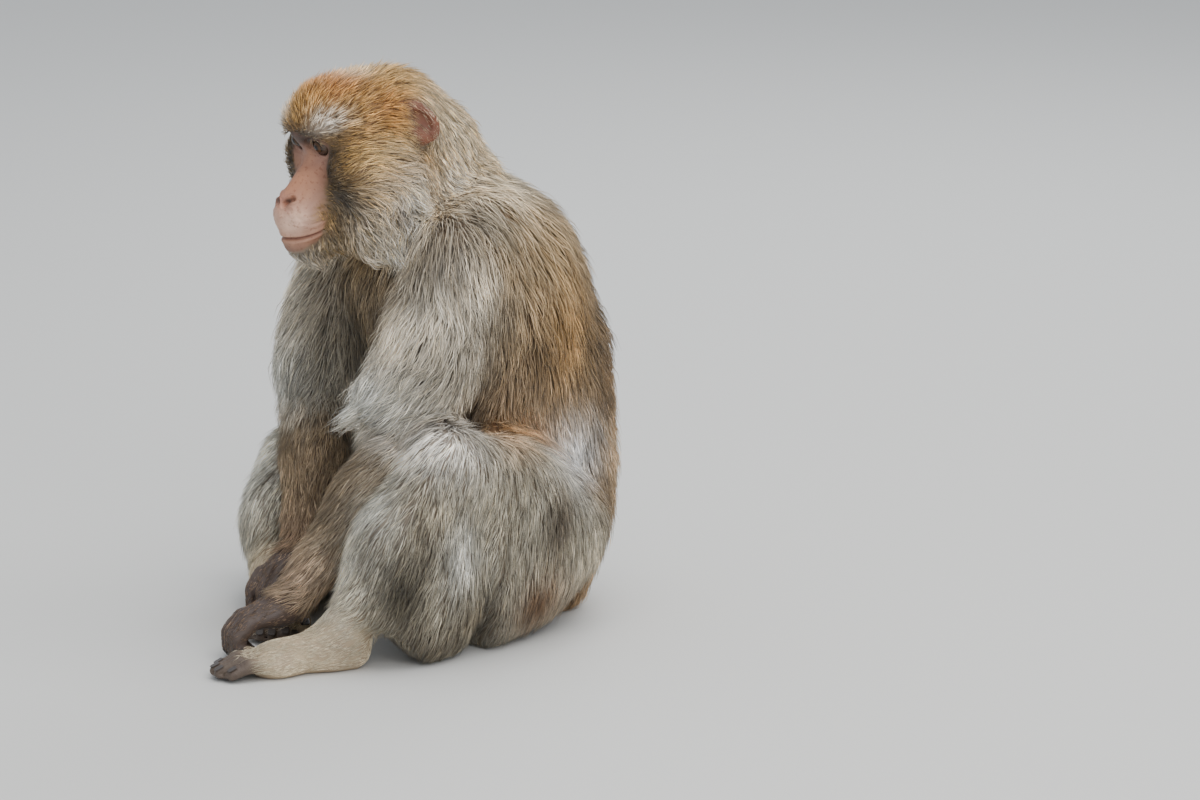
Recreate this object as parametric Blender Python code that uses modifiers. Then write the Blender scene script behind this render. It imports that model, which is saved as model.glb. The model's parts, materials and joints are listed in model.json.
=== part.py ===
"""A sitting Barbary macaque, adult male, life size, as a still museum model.

Every part is a lump of clay: balls and tapering limbs that melt together into one closed skin,
given here in millimetres in the animal's own frame. It faces -Y, its left side is +X, and the
rump, both feet and one hand stand on Z = 0. The surface is the outside of the coat.
"""

import math

import bmesh
import bpy
import numpy as np
from mathutils import Euler, Matrix, Vector

NAME = "barbary_macaque"
GAP = 0.0004             # left between two neighbouring parts
STEP = 0.0002            # step used to measure how a surface slopes
BLOCK = 1.0              # size of a block that cuts one whole side away

# Where the joints of the skeleton lie, in millimetres, left side first.
SHOULDERS = ((90, -158, 358), (-92, -168, 356))
ELBOWS = ((88, -222, 195), (-80, -222, 198))
WRISTS = ((72, -332, 54), (-20, -270, 74))
HIPS = ((78, -50, 92), (-78, -50, 88))
KNEES = ((152, -206, 183), (-180, -188, 119))
ANKLES = ((135, -308, 42), (-70, -278, 42))
HEELS = ((132, -300, 0), (-92, -262, 0))
FOOT_TURNS = (-10, 58)   # degrees that each foot points toward the animal's left
HAND_TURNS = (-14, 24)   # the same for each hand
FRINGES = (32, 6)        # how far forward the long hair over each elbow is drawn out
SIDES = (("left", 1), ("right", -1))

# The planes that part neck and trunk: a point in each and the way that it faces.
NECK_TOP = (0, -165, 402)
NECK_WAY = (0, -0.6, 0.8)
LOINS_TOP = (0, -70, 255)
LOINS_WAY = (0, -0.35, 1)
RUMP_TOP = (0, -50, 148)
RUMP_WAY = (0, -0.15, 1)

EYES_MIDDLE = (0, -264, 477)
HEAD_PITCH = 18          # degrees that the face looks down
HEAD_TURN = 4            # degrees that it looks toward its left
EYE_SPACING = 38
EYE_RADIUS = 10.0
EAR_HEIGHT = 52
EAR_DEPTH = 33

FOOT_LENGTH = 140
TOE_REACH = (0.93, 0.99, 1.0, 0.95)   # how far along the foot the toes end, outermost first
HAND_LENGTH = 98

# How the clay is settled onto its surface, and how finely its rough balls are made.
LEAST_STEEPNESS = 0.2
DAMPING = 0.8
BALL_SEGMENTS = 20
BALL_RINGS = 14
SLIVER = 0.00002     # edges shorter than this, in metres, are closed up after a cut

# Base colour and roughness of each kind of part.
FINISHES = {
    "crown": ((0.42, 0.27, 0.13), 0.8),
    "mantle": ((0.40, 0.33, 0.24), 0.85),
    "back": ((0.38, 0.27, 0.15), 0.85),
    "limb": ((0.33, 0.25, 0.17), 0.85),
    "thigh": ((0.36, 0.31, 0.25), 0.85),
    "foot": ((0.45, 0.34, 0.22), 0.75),
    "hand": ((0.10, 0.08, 0.07), 0.6),
    "ear": ((0.36, 0.17, 0.11), 0.6),
    "eye": ((0.05, 0.03, 0.02), 0.1),
}


def mm(x, y, z):
    """A point or a size given in millimetres."""
    return Vector((x, y, z)) / 1000


def turned(x=0, y=0, z=0):
    """A rotation from three angles in degrees."""
    return Euler((math.radians(x), math.radians(y), math.radians(z))).to_matrix().to_4x4()


def along(start, end, share):
    """The point at a share of the way between two."""
    return Vector(start).lerp(Vector(end), share)


class Clay:
    """Lumps that melt into one closed surface of about the given number of triangles."""

    def __init__(self, name, finish, voxel, triangles, blend, frame=None):
        self.name = name
        self.finish = finish
        self.voxel = voxel / 1000
        self.triangles = triangles
        self.blend = blend / 1000
        self.frame = frame or Matrix.Identity(4)
        self.lumps = []

    def ball(self, middle, radii, turn=(0, 0, 0), blend=None, sign=1):
        """Adds an ellipsoid."""
        place = self.frame @ Matrix.Translation(mm(*middle)) @ turned(*turn)
        self.lumps.append({
            "kind": "ball",
            "sign": sign,
            "place": place,
            "radii": mm(*radii),
            "blend": self.blend if blend is None else blend / 1000,
        })

    def dent(self, middle, radii, turn=(0, 0, 0), blend=3):
        """Presses an ellipsoid out of the lumps added before it."""
        self.ball(middle, radii, turn, blend, -1)

    def limb(self, *stations, blend=None):
        """Adds a tapering limb through stations of a point and a radius."""
        for (start, start_radius), (end, end_radius) in zip(stations, stations[1:]):
            self.lumps.append({
                "kind": "limb",
                "sign": 1,
                "start": self.frame @ mm(*start),
                "end": self.frame @ mm(*end),
                "radii": (start_radius / 1000, end_radius / 1000),
                "blend": self.blend if blend is None else blend / 1000,
            })

    def distance(self, points):
        """How far each point lies outside the melted lumps."""
        total = None
        for lump in self.lumps:
            if lump["kind"] == "ball":
                away = ball_distance(points, lump)
            else:
                away = limb_distance(points, lump)
            if total is None:
                total = away
                continue
            blend = lump["blend"]
            if lump["sign"] > 0:
                share = np.clip(0.5 + 0.5 * (total - away) / blend, 0, 1)
                total = total * (1 - share) + away * share - blend * share * (1 - share)
            else:
                share = np.clip(0.5 - 0.5 * (total + away) / blend, 0, 1)
                total = total * (1 - share) - away * share + blend * share * (1 - share)
        return total

    def settle(self, mesh, rounds):
        """Moves a mesh's vertices onto the melted surface."""
        points = vertex_positions(mesh)
        for _ in range(rounds):
            away = self.distance(points)
            slope = np.empty_like(points)
            for axis in range(3):
                nudge = np.zeros(3)
                nudge[axis] = STEP
                slope[:, axis] = (self.distance(points + nudge) - away) / STEP
            steepness = np.maximum((slope ** 2).sum(axis=1), LEAST_STEEPNESS)
            points -= slope * (away / steepness)[:, None] * DAMPING
        mesh.vertices.foreach_set("co", points.ravel())
        mesh.update()

    def build(self):
        """Makes the object: rough balls, remeshed as one, settled, thinned out, settled again."""
        rough = bmesh.new()
        mesh = bpy.data.meshes.new(self.name)
        for lump in self.lumps:
            if lump["sign"] < 0:
                continue
            for place in rough_balls(lump):
                ball = bmesh.new()
                bmesh.ops.create_uvsphere(
                    ball, u_segments=BALL_SEGMENTS, v_segments=BALL_RINGS, radius=1, matrix=place
                )
                ball.to_mesh(mesh)
                ball.free()
                rough.from_mesh(mesh)
        rough.to_mesh(mesh)
        rough.free()
        made = bpy.data.objects.new(self.name, mesh)
        parts.objects.link(made)
        remesh = made.modifiers.new("Remesh", "REMESH")
        remesh.mode = "VOXEL"
        remesh.voxel_size = self.voxel
        apply_modifiers(made)
        self.settle(made.data, 5)
        relax = made.modifiers.new("Smooth", "SMOOTH")
        relax.factor = 0.5
        relax.iterations = 2
        apply_modifiers(made)
        self.settle(made.data, 2)
        made.data.calc_loop_triangles()
        thin = made.modifiers.new("Decimate", "DECIMATE")
        thin.ratio = min(1, self.triangles / len(made.data.loop_triangles))
        apply_modifiers(made)
        self.settle(made.data, 1)
        made.data.materials.clear()
        made.data.materials.append(finish_material(self.finish))
        return made


def ball_distance(points, lump):
    """Distance from an ellipsoid, near enough close to its surface."""
    turn = np.array(lump["place"].to_3x3())
    middle = np.array(lump["place"].translation)
    radii = np.array(lump["radii"])
    local = (points - middle) @ turn
    reach = np.sqrt(((local / radii) ** 2).sum(axis=1))
    slope = np.sqrt(((local / radii ** 2) ** 2).sum(axis=1))
    return reach * (reach - 1) / np.maximum(slope, 1e-9)


def limb_distance(points, lump):
    """Distance from a limb whose radius changes evenly along it."""
    start = np.array(lump["start"])
    axis = np.array(lump["end"]) - start
    share = np.clip((points - start) @ axis / (axis @ axis), 0, 1)
    nearest = start + share[:, None] * axis
    first, last = lump["radii"]
    return np.sqrt(((points - nearest) ** 2).sum(axis=1)) - (first + (last - first) * share)


def rough_balls(lump):
    """The matrices of unit balls that fill a lump."""
    if lump["kind"] == "ball":
        return [lump["place"] @ Matrix.Diagonal((*lump["radii"], 1))]
    first, last = lump["radii"]
    length = (lump["end"] - lump["start"]).length
    count = max(2, math.ceil(length / (0.3 * min(first, last))) + 1)
    matrices = []
    for index in range(count):
        share = index / (count - 1)
        middle = lump["start"].lerp(lump["end"], share)
        radius = first + (last - first) * share
        matrices.append(Matrix.Translation(middle) @ Matrix.Scale(radius, 4))
    return matrices


def vertex_positions(mesh):
    """A mesh's vertices as an array."""
    points = np.empty(len(mesh.vertices) * 3)
    mesh.vertices.foreach_get("co", points)
    return points.reshape(-1, 3)


def apply_modifiers(thing):
    """Replaces an object's mesh by what its modifiers make of it."""
    depsgraph = bpy.context.evaluated_depsgraph_get()
    old = thing.data
    thing.data = bpy.data.meshes.new_from_object(thing.evaluated_get(depsgraph))
    thing.modifiers.clear()
    bpy.data.meshes.remove(old)
    thing.data.name = thing.name


def finish_material(kind):
    """The Principled material of one kind of part, made once."""
    material = bpy.data.materials.get(kind)
    if material:
        return material
    colour, roughness = FINISHES[kind]
    material = bpy.data.materials.new(kind)
    material.use_nodes = True
    shader = material.node_tree.nodes["Principled BSDF"]
    shader.inputs["Base Color"].default_value = (*colour, 1)
    shader.inputs["Roughness"].default_value = roughness
    shader.inputs["Metallic"].default_value = 0
    material.diffuse_color = (*colour, 1)
    return material


def keep_largest(mesh):
    """Drops the crumbs that a cut leaves, so that one closed piece remains."""
    work = bmesh.new()
    work.from_mesh(mesh)
    unseen = set(work.verts)
    islands = []
    while unseen:
        seed = unseen.pop()
        island = [seed]
        queue = [seed]
        while queue:
            for edge in queue.pop().link_edges:
                for vertex in edge.verts:
                    if vertex in unseen:
                        unseen.remove(vertex)
                        island.append(vertex)
                        queue.append(vertex)
        islands.append(island)
    islands.sort(key=len)
    for island in islands[:-1]:
        bmesh.ops.delete(work, geom=island, context="VERTS")
    bmesh.ops.dissolve_degenerate(work, edges=work.edges, dist=SLIVER)
    bmesh.ops.triangulate(work, faces=work.faces)
    work.to_mesh(mesh)
    work.free()


def cut(thing, tool):
    """Cuts an object with another."""
    boolean = thing.modifiers.new("Cut", "BOOLEAN")
    boolean.operation = "DIFFERENCE"
    boolean.solver = "EXACT"
    boolean.object = tool
    bpy.context.view_layer.update()
    apply_modifiers(thing)
    keep_largest(thing.data)


def swollen(thing):
    """A copy of an object that is larger by the gap all round, used as a cutter."""
    cutter = bpy.data.objects.new(thing.name + "_cutter", thing.data.copy())
    cutters.objects.link(cutter)
    cutter.hide_render = True
    cutter.display_type = "WIRE"
    push = cutter.modifiers.new("Gap", "DISPLACE")
    push.strength = GAP
    push.mid_level = 0
    bpy.context.view_layer.update()
    apply_modifiers(cutter)
    return cutter


def slab(name, middle, size, turn=Matrix.Identity(4)):
    """A box used as a cutter."""
    work = bmesh.new()
    place = Matrix.Translation(middle) @ turn @ Matrix.Diagonal((*size, 1))
    bmesh.ops.create_cube(work, size=1, matrix=place)
    mesh = bpy.data.meshes.new(name)
    work.to_mesh(mesh)
    work.free()
    box = bpy.data.objects.new(name, mesh)
    cutters.objects.link(box)
    box.hide_render = True
    box.display_type = "WIRE"
    return box


def boxes_meet(one, other):
    """Whether the boxes round two objects overlap."""
    first = vertex_positions(one.data)
    second = vertex_positions(other.data)
    starts_inside = np.all(first.min(axis=0) < second.max(axis=0))
    ends_inside = np.all(second.min(axis=0) < first.max(axis=0))
    return bool(starts_inside and ends_inside)


def head_frame():
    """The frame of the head: origin between the eyes, -Y the way it looks."""
    return Matrix.Translation(mm(*EYES_MIDDLE)) @ turned(z=HEAD_TURN) @ turned(x=HEAD_PITCH)


def eye(side, sign):
    clay = Clay("eye_" + side, "eye", 1.2, 160, 1, head_frame())
    clay.ball((sign * EYE_SPACING / 2, -3, 0), (EYE_RADIUS, EYE_RADIUS, EYE_RADIUS))
    return clay


def ear(side, sign):
    """A rounded dish that leans back, half sunk in the coat."""
    clay = Clay("ear_" + side, "ear", 1.6, 200, 4, head_frame())
    lean = (24, sign * -16, sign * -12)
    clay.ball((sign * 60, 77, -5), (7.5, EAR_DEPTH / 2, EAR_HEIGHT / 2), lean)
    clay.ball((sign * 58, 73, -16), (12, 10, 15), lean)
    clay.dent((sign * 69, 75, -3), (7, EAR_DEPTH / 2 - 6, EAR_HEIGHT / 2 - 8), lean, blend=3)
    return clay


def head():
    clay = Clay("head", "crown", 2.8, 1520, 14, head_frame())
    clay.ball((0, 64, -5), (62, 70, 49))                     # back of the skull
    clay.ball((0, 26, 17), (53, 47, 37), blend=20)           # forehead and crown
    clay.ball((0, 95, -59), (62, 68, 62), blend=20)          # nape
    clay.ball((0, 31, -10), (52, 34, 34))                    # face behind the eyes
    clay.limb(((0, 5, -41), 30), ((0, -41, -61), 23))        # muzzle
    clay.limb(((0, -5, -20), 8), ((0, -44, -43), 9), blend=8)  # ridge of the nose
    clay.limb(((0, 10, -80), 27), ((0, -46, -86), 17.5), blend=12)  # lower jaw
    for sign in (1, -1):
        clay.ball((sign * 21, -9, 19), (23, 14, 9), (0, sign * 8, 0), blend=7)       # brow
        clay.ball((sign * 42, 10, -24), (19, 28, 22), blend=14)     # cheekbone
        clay.ball((sign * 15, -31, -58), (15, 24, 14), blend=10)    # lip over the eye tooth
        clay.ball((sign * 48, 28, -56), (35, 44, 50), blend=22)     # cheek ruff
        clay.ball((sign * 48, 18, -92), (31, 38, 40), blend=20)     # lower ruff
        clay.ball((sign * 8, -45.5, -43), (6.5, 8, 6), blend=5)       # wing of the nostril
    clay.ball((0, 24, -86), (46, 44, 38), blend=20)          # throat
    for sign in (1, -1):
        clay.dent((sign * 20, -23, -2), (15, 17, 10.5), (0, sign * 6, 0), blend=7)   # eye socket
        clay.dent((sign * 6.5, -56.5, -45), (3.2, 5, 2.6), blend=2)    # nostril
        clay.dent((sign * 15, -57, -76), (21, 6, 2), (0, sign * 6, sign * 47), blend=3)  # mouth
    return clay


def neck():
    clay = Clay("neck", "mantle", 6, 300, 25)
    clay.limb(((0, -128, 375), 80), ((0, -142, 447), 69))
    return clay


def trunk():
    """Chest, loins and rump, hunched forward."""
    clay = Clay("trunk", "back", 8, 1000, 34)
    clay.ball((0, -105, 330), (120, 116, 104))               # chest
    clay.ball((0, -76, 258), (113, 114, 92))                 # waist
    clay.ball((0, -52, 188), (108, 96, 88))                  # loins
    clay.ball((0, -30, 108), (100, 72, 86))                  # rump
    clay.ball((0, -38, 45), (78, 56, 60))                    # seat
    for _, sign in SIDES:
        clay.ball((sign * 80, -120, 318), (56, 84, 108), blend=40)   # side of the mantle
    return clay


def upper_arm(side, shoulder, elbow, fringe_reach):
    clay = Clay("upper_arm_" + side, "mantle", 6, 210, 25)
    clay.limb((shoulder, 57), (along(shoulder, elbow, 0.5), 53), (elbow, 38))
    tuft = along(shoulder, elbow, 0.74) + Vector((0, -18, 0))
    clay.ball(tuft, (34, 42, 38), (25, 0, 0), blend=25)      # long hair over the elbow
    fringe = Vector(elbow) + Vector((0, -20, 52))
    clay.limb((fringe, 25), (fringe + Vector((0, -fringe_reach, 4)), 12), blend=16)    # its fringe
    return clay


def forearm(side, elbow, wrist):
    clay = Clay("forearm_" + side, "limb", 5, 220, 15)
    clay.limb((elbow, 34), (along(elbow, wrist, 0.35), 33), (along(elbow, wrist, 0.8), 24), (wrist, 21))
    return clay


def thigh(side, sign, hip, knee):
    clay = Clay("thigh_" + side, "thigh", 7, 280, 30)
    clay.limb((hip, 56), (along(hip, knee, 0.5), 57), (knee, 45))
    middle = along(hip, knee, 0.62)
    clay.ball((middle.x - sign * 4, middle.y, 70), (46, 64, 73), (0, 0, sign * 22), blend=40)   # underside
    crease = along(hip, knee, 0.88)
    clay.ball((crease.x - sign * 10, crease.y - 4, 76), (38, 46, 64), (0, 0, sign * 20), blend=45)   # crease
    haunch = along(hip, knee, 0.26)
    clay.ball((haunch.x, haunch.y, 66), (48, 62, 58), (0, 0, sign * 22), blend=30)
    return clay


def shin(side, sign, knee, ankle):
    clay = Clay("shin_" + side, "thigh", 6, 300, 25)
    calf = along(knee, ankle, 0.5)
    clay.limb((knee, 44), (calf, 43), (ankle, 25))
    calf_back = along(knee, ankle, 0.42)
    clay.ball((calf_back.x, calf_back.y + 12, 57), (36, 50, 60), (0, 0, sign * 15), blend=30)
    fold = along(knee, ankle, 0.15)
    clay.ball((fold.x - sign * 11, fold.y + 16, 80), (38, 46, 72), (0, 0, sign * 20), blend=35)  # behind the knee
    heel_side = along(knee, ankle, 0.62)
    clay.ball((heel_side.x - sign * 2, heel_side.y + 10, 42), (27, 34, 42), blend=26)
    return clay


def foot(side, sign, heel, turn, ankle):
    """A long flat foot: heel, sole, four toes and a big toe that stands out on the inner side."""
    frame = Matrix.Translation(mm(*heel)) @ turned(z=turn)
    clay = Clay("foot_" + side, "foot", 2.6, 500, 8, frame)
    length = FOOT_LENGTH
    clay.ball((0, -4, 17), (19, 22, 20))
    clay.limb(((0, -4, 22), 19), ((sign * 2, -length * 0.55, 15), 19), blend=12)
    clay.ball((sign * 1, -length * 0.55, 12), (27, 26, 14), blend=12)
    local_ankle = frame.inverted() @ mm(*ankle) * 1000    # back to millimetres, in the foot's own frame
    clay.limb((local_ankle, 24), ((0, -26, 20), 21), blend=14)
    for index in range(4):
        across = sign * (18 - 11.5 * index)
        reach = length * TOE_REACH[index]
        root = (across * 0.8, -length * 0.62, 13)
        bend = (across, -(length * 0.62 + reach) / 2 + 2, 15)
        tip = (across * 1.02, -reach + 7, 7.5)
        clay.limb((root, 8.5), (bend, 7.5), (tip, 7), blend=3)
    clay.limb(
        ((-sign * 16, -length * 0.40, 13), 11),
        ((-sign * 30, -length * 0.56, 11), 9),
        ((-sign * 34, -length * 0.72, 8), 8),
        blend=5,
    )
    return clay


def hand(side, sign, wrist, turn):
    """A hand laid palm down with its fingers curled over."""
    frame = Matrix.Translation(mm(*wrist)) @ turned(z=turn)
    clay = Clay("hand_" + side, "hand", 2.4, 440, 7, frame)
    knuckles = -HAND_LENGTH * 0.46
    clay.limb(((0, 10, 6), 20), ((0, -8, -4), 19))
    clay.ball((0, knuckles * 0.55, -10), (25, 28, 14), (14, 0, 0), blend=12)
    for index in range(4):
        across = sign * (18 - 12 * index)
        first = Vector((across, knuckles, -14 - abs(index - 1.3) * 1.5))
        second = first + Vector((0, -12, -12))
        third = second + Vector((0, 0, -14))
        bend = third + Vector((0, 7, -7))
        tip = bend + Vector((0, 13, 3))
        clay.limb((first, 9), (second, 8), (third, 7.5), (bend, 7), (tip, 6.5), blend=3)
    clay.limb(
        ((-sign * 18, knuckles * 0.35, -16), 10),
        ((-sign * 28, knuckles * 0.75, -26), 8.5),
        ((-sign * 30, knuckles * 1.1, -38), 7.5),
        blend=5,
    )
    return clay


def tail_stub():
    clay = Clay("tail_stub", "back", 3, 80, 3)
    clay.limb(((0, 20, 62), 12), ((0, 36, 56), 9))
    return clay


def remove_all():
    for thing in list(bpy.data.objects):
        bpy.data.objects.remove(thing, do_unlink=True)


def collection(name):
    made = bpy.data.collections.new(name)
    bpy.context.scene.collection.children.link(made)
    return made


def halve(first, second, point, way):
    """Ends the first part and starts the second at a plane that faces the given way."""
    normal = Vector(way).normalized()
    turn = normal.to_track_quat("Z", "Y").to_matrix().to_4x4()
    for thing, sign in ((first, 1), (second, -1)):
        middle = mm(*point) + normal * sign * (BLOCK / 2 - GAP / 2)
        block = slab("plane", middle, (BLOCK, BLOCK, BLOCK), turn)
        cut(thing, block)
        bpy.data.objects.remove(block, do_unlink=True)


def direction(start, end):
    return (Vector(end) - Vector(start)).normalized()


def fit_together(order, halved):
    """Carves each part by the ones before it, so that all meet across the gap."""
    tools = [swollen(thing) for thing in order]
    for index, thing in enumerate(order):
        for earlier in range(index):
            apart = (order[earlier].name, thing.name) in halved
            if not apart and boxes_meet(thing, tools[earlier]):
                cut(thing, tools[earlier])
    for tool in tools:
        bpy.data.objects.remove(tool, do_unlink=True)


def twin(thing, name):
    """A copy of a part under another name."""
    copy = bpy.data.objects.new(name, thing.data.copy())
    parts.objects.link(copy)
    return copy


def centre(things):
    """Puts the middle of the whole on Z's axis, and each part's origin in its own middle."""
    everything = np.concatenate([vertex_positions(thing.data) for thing in things])
    middle = (everything.min(axis=0) + everything.max(axis=0)) / 2
    middle[2] = 0
    for thing in things:
        points = vertex_positions(thing.data) - middle
        own = (points.min(axis=0) + points.max(axis=0)) / 2
        thing.data.vertices.foreach_set("co", (points - own).ravel())
        thing.data.update()
        thing.location = own


remove_all()
parts = collection(NAME)
cutters = collection("cutters")

clays = [trunk(), neck(), head(), tail_stub()]
for index, (side, sign) in enumerate(SIDES):
    clays.append(eye(side, sign))
    clays.append(ear(side, sign))
    clays.append(upper_arm(side, SHOULDERS[index], ELBOWS[index], FRINGES[index]))
    clays.append(forearm(side, ELBOWS[index], WRISTS[index]))
    clays.append(hand(side, sign, WRISTS[index], HAND_TURNS[index]))
    clays.append(thigh(side, sign, HIPS[index], KNEES[index]))
    clays.append(shin(side, sign, KNEES[index], ANKLES[index]))
    clays.append(foot(side, sign, HEELS[index], FOOT_TURNS[index], ANKLES[index]))
made = {clay.name: clay.build() for clay in clays}

# Where one part ends in a plane and the next begins: the joints of neck, arms and legs.
joints = [("neck", "head", NECK_TOP, NECK_WAY)]
for index, (side, _) in enumerate(SIDES):
    arm = direction(SHOULDERS[index], ELBOWS[index])
    lower_arm = direction(ELBOWS[index], WRISTS[index])
    leg = direction(HIPS[index], KNEES[index])
    lower_leg = direction(KNEES[index], ANKLES[index])
    ankle = along(KNEES[index], ANKLES[index], 0.93)
    joints.append(("upper_arm_" + side, "forearm_" + side, ELBOWS[index], arm + lower_arm))
    joints.append(("forearm_" + side, "hand_" + side, WRISTS[index], lower_arm))
    joints.append(("thigh_" + side, "shin_" + side, KNEES[index], leg + lower_leg))
    joints.append(("shin_" + side, "foot_" + side, ankle, lower_leg))
for first, second, point, way in joints:
    halve(made[first], made[second], point, way)

order = [made["trunk"]]
for kind in ("thigh", "upper_arm", "shin", "forearm", "eye"):
    order += [made[kind + "_" + side] for side, _ in SIDES]
order += [made["neck"], made["head"]]
for kind in ("ear", "foot", "hand"):
    order += [made[kind + "_" + side] for side, _ in SIDES]
order.append(made["tail_stub"])
fit_together(order, [(first, second) for first, second, _, _ in joints])

floor = slab("floor", Vector((0, 0, -BLOCK / 2)), (BLOCK, BLOCK, BLOCK))
for thing in order:
    if vertex_positions(thing.data)[:, 2].min() < 0:
        cut(thing, floor)

# The trunk is parted into chest, loins and rump.
chest = order.pop(0)
chest.name = "chest"
loins = twin(chest, "loins")
rump = twin(chest, "rump")
halve(rump, loins, RUMP_TOP, RUMP_WAY)
halve(loins, chest, LOINS_TOP, LOINS_WAY)

centre(order + [chest, loins, rump])
for cutter in list(cutters.objects):
    bpy.data.objects.remove(cutter, do_unlink=True)
bpy.data.collections.remove(cutters)
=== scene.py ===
# A seated adult Barbary macaque, life size: skin, eyes, nails and coat.
import json
import math
import time

import bmesh
import bpy
import numpy as np
from mathutils import Matrix, Vector
from mathutils.kdtree import KDTree

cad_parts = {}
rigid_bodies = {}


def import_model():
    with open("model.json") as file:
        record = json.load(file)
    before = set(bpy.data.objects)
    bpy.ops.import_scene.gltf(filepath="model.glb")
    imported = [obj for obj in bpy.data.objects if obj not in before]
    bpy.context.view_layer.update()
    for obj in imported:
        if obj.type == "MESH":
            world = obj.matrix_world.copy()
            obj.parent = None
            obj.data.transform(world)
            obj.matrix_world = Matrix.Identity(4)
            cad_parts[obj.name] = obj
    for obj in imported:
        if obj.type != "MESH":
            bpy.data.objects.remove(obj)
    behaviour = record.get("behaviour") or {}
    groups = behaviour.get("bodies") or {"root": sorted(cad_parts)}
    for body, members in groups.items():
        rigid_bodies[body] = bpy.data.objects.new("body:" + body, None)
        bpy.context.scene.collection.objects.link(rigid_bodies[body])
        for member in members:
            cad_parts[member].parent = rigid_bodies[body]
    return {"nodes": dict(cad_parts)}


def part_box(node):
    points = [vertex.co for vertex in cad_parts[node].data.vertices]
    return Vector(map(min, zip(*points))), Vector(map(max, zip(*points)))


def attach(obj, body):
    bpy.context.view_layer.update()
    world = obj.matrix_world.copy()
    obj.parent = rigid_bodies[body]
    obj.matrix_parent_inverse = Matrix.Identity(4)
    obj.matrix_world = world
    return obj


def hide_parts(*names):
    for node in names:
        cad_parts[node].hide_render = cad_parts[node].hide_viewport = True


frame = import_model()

startTime = time.time()
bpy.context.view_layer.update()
nodes = frame["nodes"]
sides = {"left": 1, "right": -1}
fleshNames = sorted(name for name in nodes if not name.startswith("eye_"))


def report(text):
    print("macaque %5.1f s  %s" % (time.time() - startTime, text))


def tone(red, green, blue):  # a colour as a paint chart gives it, 0 to 255, made linear
    chart = np.array((red, green, blue)) / 255
    return np.where(chart <= 0.04045, chart / 12.92, ((chart + 0.055) / 1.055) ** 2.4)


def selectOnly(*things):
    bpy.ops.object.select_all(action="DESELECT")
    for thing in things:
        thing.select_set(True)
    bpy.context.view_layer.objects.active = things[0]


def selectVertices(mesh, chosen):
    for items in (mesh.vertices, mesh.edges, mesh.polygons):
        items.foreach_set("select", np.zeros(len(items), bool))
    mesh.vertices.foreach_set("select", chosen)


def switchMode(mode):
    bpy.ops.object.mode_set(mode=mode)


def newObject(name, mesh):
    made = bpy.data.objects.new(name, mesh)
    bpy.context.scene.collection.objects.link(made)
    return made


def applyModifier(thing, kind, **wishes):
    selectOnly(thing)
    modifier = thing.modifiers.new(kind.title(), kind)
    for key, value in wishes.items():
        setattr(modifier, key, value)
    bpy.ops.object.modifier_apply(modifier=modifier.name)


def readAll(items, key, width, kind=np.float32):
    values = np.empty(len(items) * width, kind)
    items.foreach_get(key, values)
    return values.reshape(-1, width)


def writeAll(items, key, values, kind=np.float32):
    items.foreach_set(key, values.astype(kind).ravel())


def positionsOf(mesh):
    return readAll(mesh.vertices, "co", 3).astype(float)


def normalsOf(mesh):
    return readAll(mesh.vertex_normals, "vector", 3).astype(float)


def edgesOf(mesh):
    return readAll(mesh.edges, "vertices", 2, np.int32)


def trianglesOf(mesh):
    mesh.calc_loop_triangles()
    return readAll(mesh.loop_triangles, "vertices", 3, np.int32)


def setPositions(mesh, places):
    writeAll(mesh.vertices, "co", places)
    mesh.update()


def addAttribute(mesh, name, values):  # a number or a colour for each vertex
    if values.ndim == 1:
        writeAll(mesh.attributes.new(name, "FLOAT", "POINT").data, "value", values)
    else:
        colours = np.column_stack((values, np.ones(len(values))))
        writeAll(mesh.attributes.new(name, "FLOAT_COLOR", "POINT").data, "color", colours)


def evened(values, ends, rounds, share=0.5):  # spreads values over the mesh, along its edges
    first, second = np.ascontiguousarray(ends.T, np.intp)
    count = len(values)
    columns = np.array(values, float).reshape(count, -1).T
    degree = np.bincount(ends.ravel(), minlength=count).clip(1)
    for _ in range(rounds):
        spread = [
            np.bincount(first, one[second], count) + np.bincount(second, one[first], count) for one in columns
        ]
        columns = columns * (1 - share) + np.array(spread) / degree * share
    return np.ascontiguousarray(columns.T).reshape(np.shape(values))


def mixed(first, second, share):  # the first where share is 0, the second where it is 1
    if np.ndim(share) < np.ndim(first):
        share = np.expand_dims(share, -1)
    return first * (1 - share) + second * share


def stepBetween(low, high, values):  # 0 below low, 1 above high, smooth between
    share = np.clip((values - low) / (high - low), 0, 1)
    return share * share * (3 - 2 * share)


def bell(away, width, power=2):  # 1 where away is 0, falling off on both sides
    return np.exp(-(away / width) ** power)


def unit(ways):
    return ways / np.maximum(np.linalg.norm(ways, axis=-1, keepdims=True), 1e-9)


def wander(places, size, seed):  # a smooth random value, about -1 to 1, that changes over the given metres
    dice = np.random.default_rng(seed)
    total = np.zeros(len(places))
    for _ in range(14):
        way = unit(dice.normal(0, 1, 3)) * dice.uniform(0.6, 1.5) * 2 * math.pi / size / 1.6
        total += np.sin(places @ way + dice.uniform(0, 6.28))
    return total / 3.2


def treeOf(places):
    tree = KDTree(len(places))
    for index, place in enumerate(places):
        tree.insert(place, index)
    tree.balance()
    return tree


def nearest(tree, places):
    return np.array([tree.find(place)[1] for place in places])


def middleOf(name):
    low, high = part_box(name)
    return (np.array(low) + np.array(high)) / 2


def distanceTo(places, middles):  # to the nearest of a few places
    return np.minimum.reduce([np.linalg.norm(places - middle, axis=1) for middle in middles])


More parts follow.
